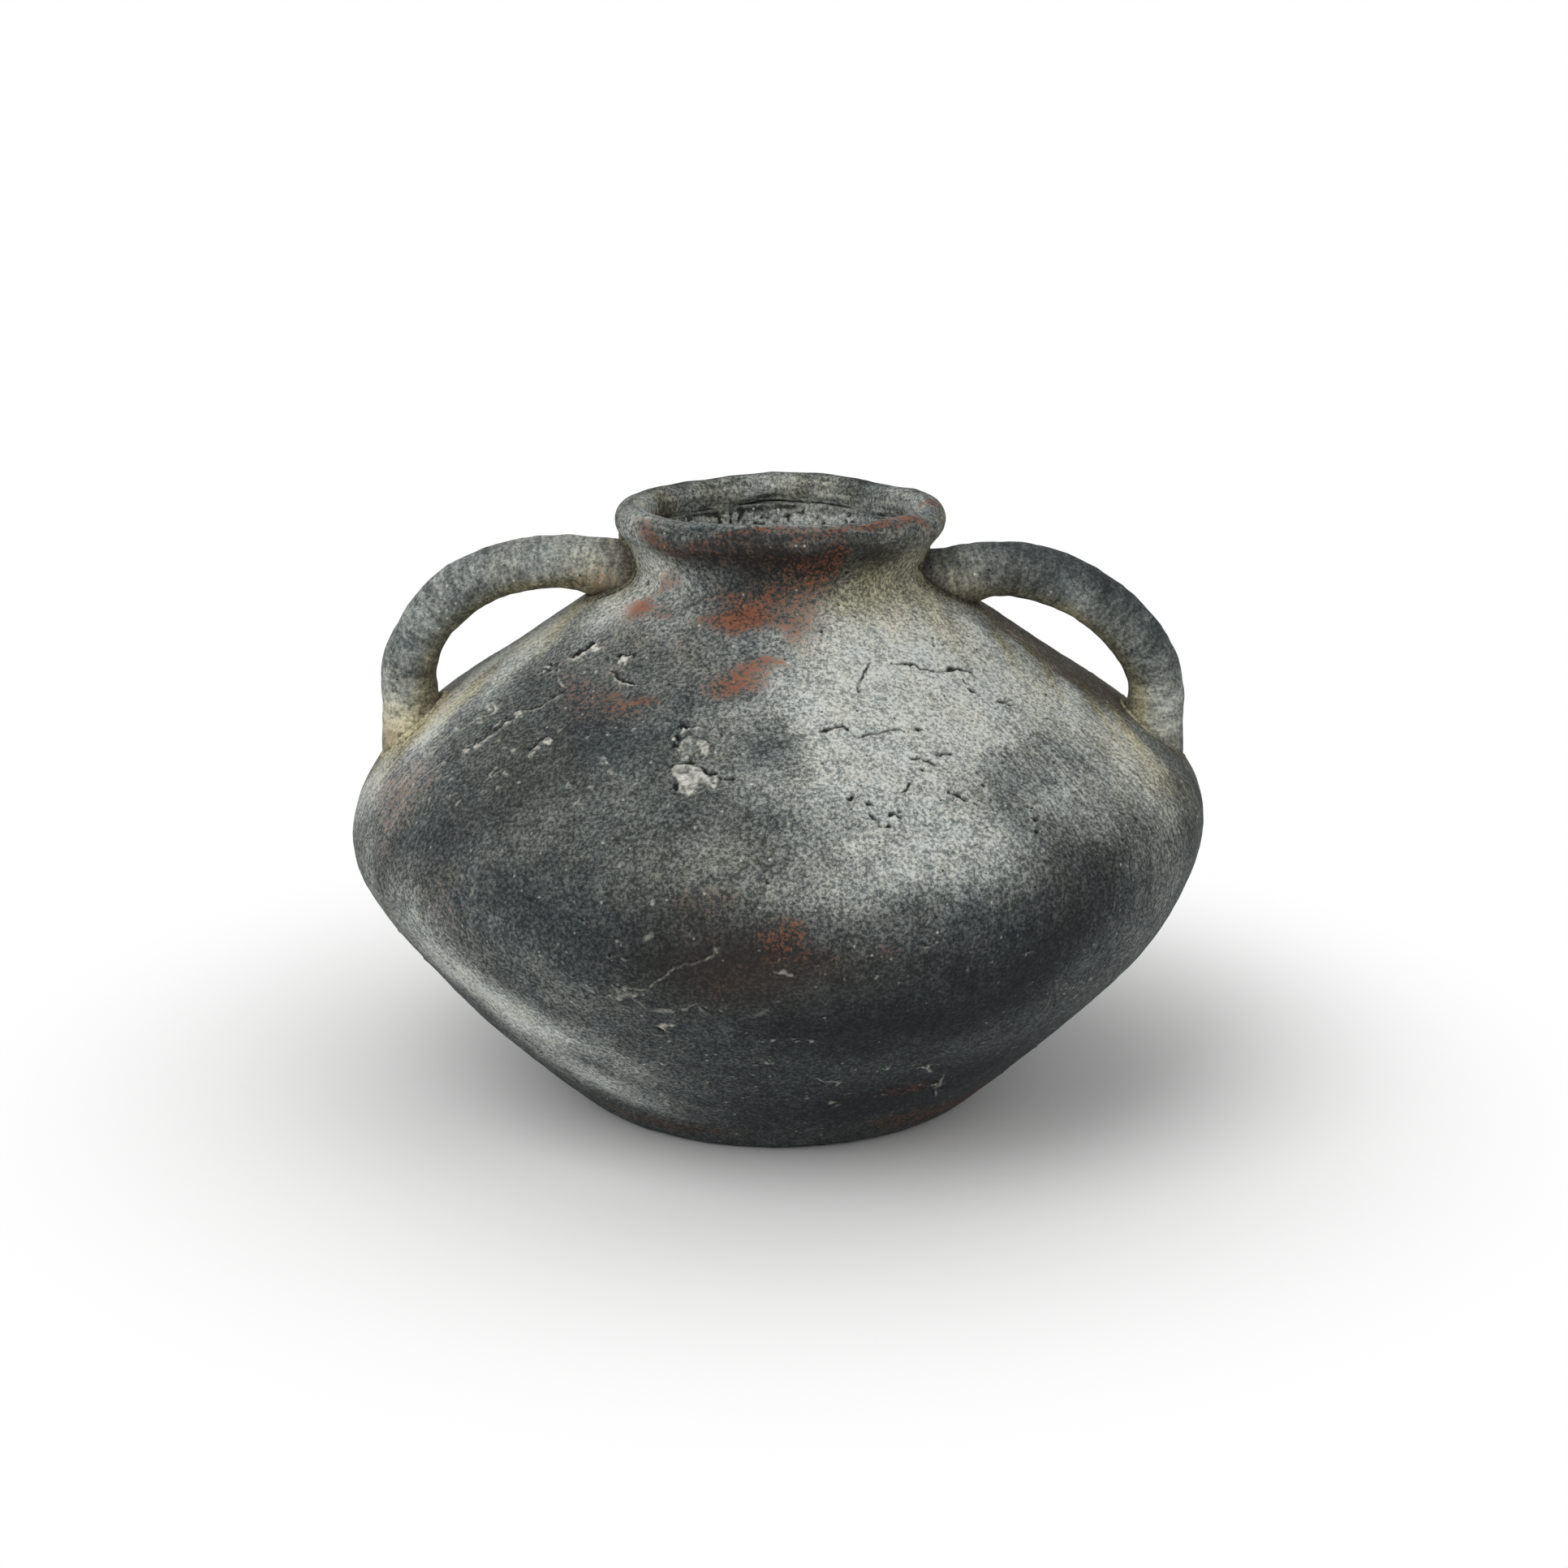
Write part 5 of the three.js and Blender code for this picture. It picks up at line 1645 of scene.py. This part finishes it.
def coilFields(name, points, around):
    paint = handlePaint[name]
    outer, front = np.sin(around), -np.cos(around)
    size, reach = coil["wander"]
    moved = points + wander(points, size, 71) * reach
    fields = {
        "chalk": paint["chalk"] + paint["outer"] * outer + paint["front"] * front,
        "rust": 0,
        "olive": paint["innerOlive"] * smoothStep(0.1, 0.9, -outer),
        "shadeAndDirt": 0,
    }
    for word, spots in paint["spots"].items():
        for x, y, size, amount in spots:
            away = (moved - onHandle(x, y))[:, [0, 2]]
            fields[word] = fields[word] + amount * np.exp(-(away ** 2).sum(axis=1) / size ** 2)
    # olive slip round the handles' roots, and painted shade in their creases
    stain, creaseShade = rootStains(points)
    fields["olive"] = np.clip(fields["olive"] + paint["rootOlive"] * stain, 0, 1)
    fields["shadeAndDirt"] = np.clip(fields["shadeAndDirt"] + coil["rootCreaseShade"] * creaseShade, 0, 1)
    return fields


handlePaint = {
    "left": {
        "chalk": 0.485, "outer": 0.06, "front": 0.03, "innerOlive": 0.85, "rootOlive": 0.75,
        "spots": {
            "chalk": [
                (560, 740, 12, 0.06), (500, 800, 10, 0.06), (650, 690, 10, 0.05), (705, 690, 9, 0.18),
                (745, 700, 6, 0.12), (485, 885, 9, 0.28), (510, 850, 7, 0.04), (515, 878, 7, 0.22),
                (485, 825, 9, -0.06), (560, 760, 5, -0.06),
            ],
            "rust": [(745, 715, 5, 0.25), (485, 897, 5, 0.2)],
            "olive": [(640, 730, 9, 0.4), (730, 715, 9, 0.4), (480, 880, 9, 0.5)],
            # the darkest spots sit in the root creases: painted shade
            "shadeAndDirt": [(768, 692, 4, 0.7), (650, 742, 5, 0.15), (471, 858, 1.1, 1.0), (522, 866, 1.1, 0.9),
                     (499, 892, 1.0, 0.9), (745, 730, 3, 0.4)],
        },
    },
    "right": {
        "chalk": 0.39, "outer": -0.04, "front": 0.04, "innerOlive": 0.8, "rootOlive": 0.35,
        "spots": {
            "chalk": [
                (1195, 690, 9, 0.10), (1160, 705, 7, 0.09), (1240, 735, 8, 0.08), (1270, 690, 12, -0.05),
                (1425, 895, 9, 0.20), (1350, 790, 9, 0.12), (1350, 708, 12, -0.14), (1320, 745, 8, 0.28),
                (1440, 850, 10, 0.12), (1400, 760, 8, -0.06), (1420, 858, 8, 0.10),
            ],
            "rust": [(1160, 700, 5, 0.06)],
            "olive": [(1180, 720, 9, 0.5), (1440, 915, 6, 0.2), (1393, 855, 3.5, 0.6)],
            # dark spots by the upper root: painted shade in its crease
            "shadeAndDirt": [(1150, 705, 3, 0.3), (1245, 705, 4, 0.5), (1225, 695, 3, 0.3), (1193, 728, 3, 0.4)],
        },
    },
}


def coilGrowth(points, around, sizes):
    gap, seed = -depthInPot(points), sizes["seed"]
    below, beside = coil["upperRoot"]
    nearUpper = points[:, 2] > pot["neckRootHeight"] - below
    nearUpper &= np.abs(points[:, 0]) < pot["neckRootRadius"] + beside
    growth = flareAt(sizes, nearUpper, around) * np.exp(-np.maximum(gap, 0) / coil["flareReach"])
    growth += sizes["swell"]
    growth += coil["lump"] * layered(points, seed, *coil["lumps"])
    inner = smoothStep(0.2, 0.9, -np.sin(around)) * sizes["innerLumps"]
    growth += inner * lumps(points, coil["innerLump"], seed + 2)
    return growth + coil["grain"] * lumps(points, coil["grainMm"], seed + 3)


def buildHandle(name, sizes):
    line, facets, rows, scales = handleLines[name], coil["facets"], coil["rows"], coil["capScales"]
    around = np.linspace(0, 2 * math.pi, facets + 1) - math.pi / 2
    caps, ends = [], []
    for end in (0, 1):
        ends.append(rootPlaces(line, around, coil["buried"], end))
        for scale in (scales, scales[::-1])[end]:
            places = rootPlaces(line, around, coil["buried"], end, scale)
            caps.append(handleSurface(line, places, around, 0, scale)[0])
    places = (ends[0] + (ends[1] - ends[0]) * np.linspace(0, 1, rows)[:, None]).ravel()
    turns = np.tile(around, rows)
    points, normal = handleSurface(line, places, turns, 0)
    body = points + normal * coilGrowth(points, turns, sizes)[:, None]
    stacked = np.concatenate([*caps[:len(scales)], body, *caps[len(scales):]])
    turns = np.tile(around, rows + len(caps))
    mesh = gridMesh(name + "Handle", facets, rows + len(caps) - 1)
    setPlaces(mesh, stacked)
    fields = coilFields(name, stacked, turns)
    addAttributes(mesh, {**fields, "hollow": 0, "chalkAndHighlight": 0, "streak": coil["streak"]})
    along = np.pad(places, len(scales) * len(around), constant_values=(places.min(), places.max()))
    along, wide = along * coil["brushAlong"], coil["brushAround"]
    addBrushPlace(mesh, np.stack([along, np.cos(turns) * wide, np.sin(turns) * wide], axis=1))
    finishMesh(mesh, 75)
    print(f"{name} handle: {len(mesh.polygons)} faces")
    return mesh


for name, sizes in handles.items():
    addPiece(name + "Handle", buildHandle(name, sizes), "handle_" + name, "dry_brushed_handle")

slipRoll = {
    "radius": (0.75, 1.4),
    "out": 0.75,
    "sink": 0.35,
    "outerSink": 1.3,  # on the outer side of a lower root it is smoothed right in
    "outerFrom": (1, 6),
    "rings": 220,
    "facets": 16,
    "seed": 81,
    "lumpMm": 5,
    "grain": 0.16,
    "grainMm": 1.7,
    "stainMm": 4,
    "gapAt": 1.4,  # where the slip shrank away from the coil, round the roll in radians
    "gapWidth": 0.45,
    "chalkStain": 0.16,
    "rust": 0.12,
    "olive": (0.65, 0.3),
    # dark on the roll where the stain is light: painted shade and dirt, less where it is brushed pale
    "shadeAndDirt": (0.5, 0.6),
    "rustBelow": 0.4,  # a palely brushed roll shows no rust
}


def buildSlipRoll(name, loop, chalk, gap):
    count, facets, seed = slipRoll["rings"], slipRoll["facets"], slipRoll["seed"]
    closedLoop = np.concatenate([loop, loop[:1]])
    line = sampled(closedLoop, np.linspace(0, len(closedLoop) - 1, count + 1))
    tangent = unit(np.roll(line[:-1], -1, axis=0) - np.roll(line[:-1], 1, axis=0))
    tangent = np.concatenate([tangent, tangent[:1]])
    middle = loop.mean(axis=0)
    skin = np.array([surfaceNormal(point) for point in line])
    aside = unit(np.cross(tangent, skin))
    aside *= np.sign(((line - middle) * aside).sum(axis=1))[:, None]
    out = np.cross(aside, tangent)
    out *= np.sign((out * skin).sum(axis=1))[:, None]
    low, high = slipRoll["radius"]
    size = low + (high - low) * (0.5 + 0.5 * lumps(line, slipRoll["lumpMm"], seed))
    beyond = np.abs(line[:, 0]) - abs(middle[0])
    outerShare = smoothStep(*slipRoll["outerFrom"], beyond) * name.endswith("Lower")
    sink = slipRoll["sink"] + slipRoll["outerSink"] * outerShare
    centre = line + aside * slipRoll["out"] - out * sink[:, None]
    angle, ring = np.meshgrid(np.linspace(0, 2 * math.pi, facets + 1), np.arange(count + 1))
    angle, ring = angle.ravel(), ring.ravel()
    spoke = np.cos(angle)[:, None] * aside[ring] + np.sin(angle)[:, None] * out[ring]
    points = centre[ring] + size[ring, None] * spoke
    points += out[ring] * (slipRoll["grain"] * lumps(points, slipRoll["grainMm"], seed + 1))[:, None]
    mesh = gridMesh(name, facets, count)
    setPlaces(mesh, points)
    stain = 0.5 + 0.5 * lumps(points, slipRoll["stainMm"], seed + 2)
    shrunk = bell(angle, slipRoll["gapAt"], slipRoll["gapWidth"])
    (olive, moreOlive), (shadeAndDirt, lessShadeAndDirt) = slipRoll["olive"], slipRoll["shadeAndDirt"]
    addAttributes(mesh, {
        "chalk": chalk + slipRoll["chalkStain"] * stain,
        "rust": slipRoll["rust"] * stain * (chalk < slipRoll["rustBelow"]),
        "olive": olive + moreOlive * stain,
        "shadeAndDirt": (shadeAndDirt - lessShadeAndDirt * chalk) * (1 - stain),
        "hollow": gap * shrunk * smoothStep(0.25, 0.5, stain),
        "chalkAndHighlight": 0,
        "streak": 0,
    })
    addBrushPlace(mesh, points)
    finishMesh(mesh, 80)
    return mesh


for name, loop in rootLoops.items():
    pieceName = "slipRoll" + name.title().replace("_", "")
    mesh = buildSlipRoll(pieceName, loop, roots[name]["chalk"], roots[name]["gap"])
    addPiece(pieceName, mesh, "slip_roll_" + name, "olive_slip")
print("handles and slip rolls made")

# A pale sweep of paper to stand on, a wide soft lamp above on the left, and the camera

stage = {
    "floorHalf": 6,
    "floorColour": "#fbfbfa",
    "fadeStart": 0.09,
    "fadeEnd": 0.24,
    "white": (1, 1, 1, 1),
    "ambient": 0.50,
    "lampSize": 1.3,
    "lampAim": (0, 0, 0.08),
    # watts and place
    "lamps": {"keyLamp": (15, (-0.75, -1.0, 1.35)), "fillLamp": (3.0, (1.1, -0.9, 0.9))},
}


def backdropRays(tree):  # 1 for rays that show the white backdrop, 0 for those that light the pot
    ray = addNode(tree, "ShaderNodeLightPath")
    seen = ray.outputs["Is Camera Ray"]
    for other in ("Is Glossy Ray", "Is Transmission Ray"):
        inputs = {0: seen, 1: ray.outputs[other]}
        seen = addNode(tree, "ShaderNodeMath", inputs, operation="MAXIMUM").outputs[0]
    return seen


def makeFloor():
    half = stage["floorHalf"]
    mesh = bpy.data.meshes.new("paperFloor")
    corners = [(-half, -half, 0), (half, -half, 0), (half, half, 0), (-half, half, 0)]
    mesh.from_pydata(corners, [], [(0, 1, 2, 3)])
    paper = bpy.data.materials.new("mattWhitePaper")
    paper.use_nodes = True
    tree = paper.node_tree
    tree.nodes.clear()
    diffuse = addNode(tree, "ShaderNodeBsdfDiffuse", {"Color": hexToLinear(stage["floorColour"])})
    glow = addNode(tree, "ShaderNodeEmission", {"Color": stage["white"], "Strength": 1.0})
    place = addNode(tree, "ShaderNodeTexCoord").outputs["Object"]
    away = addNode(tree, "ShaderNodeVectorMath", {0: place}, operation="LENGTH")
    fade = addNode(tree, "ShaderNodeMapRange", {
        "Value": away.outputs["Value"], "From Min": stage["fadeStart"], "From Max": stage["fadeEnd"]},
        interpolation_type="SMOOTHSTEP")
    inputs = {0: backdropRays(tree), 1: fade.outputs[0]}
    share = addNode(tree, "ShaderNodeMath", inputs, operation="MULTIPLY")
    mixed = addNode(tree, "ShaderNodeMixShader", {
        0: share.outputs[0], 1: diffuse.outputs[0], 2: glow.outputs[0]})
    addNode(tree, "ShaderNodeOutputMaterial", {"Surface": mixed.outputs[0]})
    mesh.materials.append(paper)
    addObject("paperFloor", mesh)


def makeLight():
    world = bpy.data.worlds.new("whiteStudio")
    bpy.context.scene.world = world
    world.use_nodes = True
    tree = world.node_tree
    tree.nodes.clear()
    soft = addNode(tree, "ShaderNodeBackground", {"Color": stage["white"], "Strength": stage["ambient"]})
    white = addNode(tree, "ShaderNodeBackground", {"Color": stage["white"], "Strength": 1.0})
    mixed = addNode(tree, "ShaderNodeMixShader", {
        0: backdropRays(tree), 1: soft.outputs[0], 2: white.outputs[0]})
    addNode(tree, "ShaderNodeOutputWorld", {"Surface": mixed.outputs[0]})
    for name, (power, place) in stage["lamps"].items():
        lamp = bpy.data.lights.new(name, "AREA")
        lamp.energy = power
        lamp.size = stage["lampSize"]
        lampObject = addObject(name, lamp)
        lampObject.location = place
        way = mathutils.Vector(stage["lampAim"]) - mathutils.Vector(place)
        lampObject.rotation_euler = way.to_track_quat("-Z", "Y").to_euler()


def makeCamera():
    side, (axisX, axisY) = photo["side"], photo["axisAt"]
    camera = bpy.data.cameras.new("camera")
    camera.lens = photo["focal"] / side * camera.sensor_width
    camera.shift_x = (side / 2 - axisX) / side
    camera.shift_y = (axisY - side / 2) / side
    cameraObject = addObject("camera", camera)
    cameraObject.location = (0, -photo["distance"] * millimetre, photo["height"] * millimetre)
    cameraObject.rotation_euler = (math.pi / 2 - tilt, 0, 0)
    bpy.context.scene.camera = cameraObject


makeFloor()
makeLight()
makeCamera()
bpy.context.scene.view_settings.view_transform = "Standard"
print("stage, lamps and camera set")
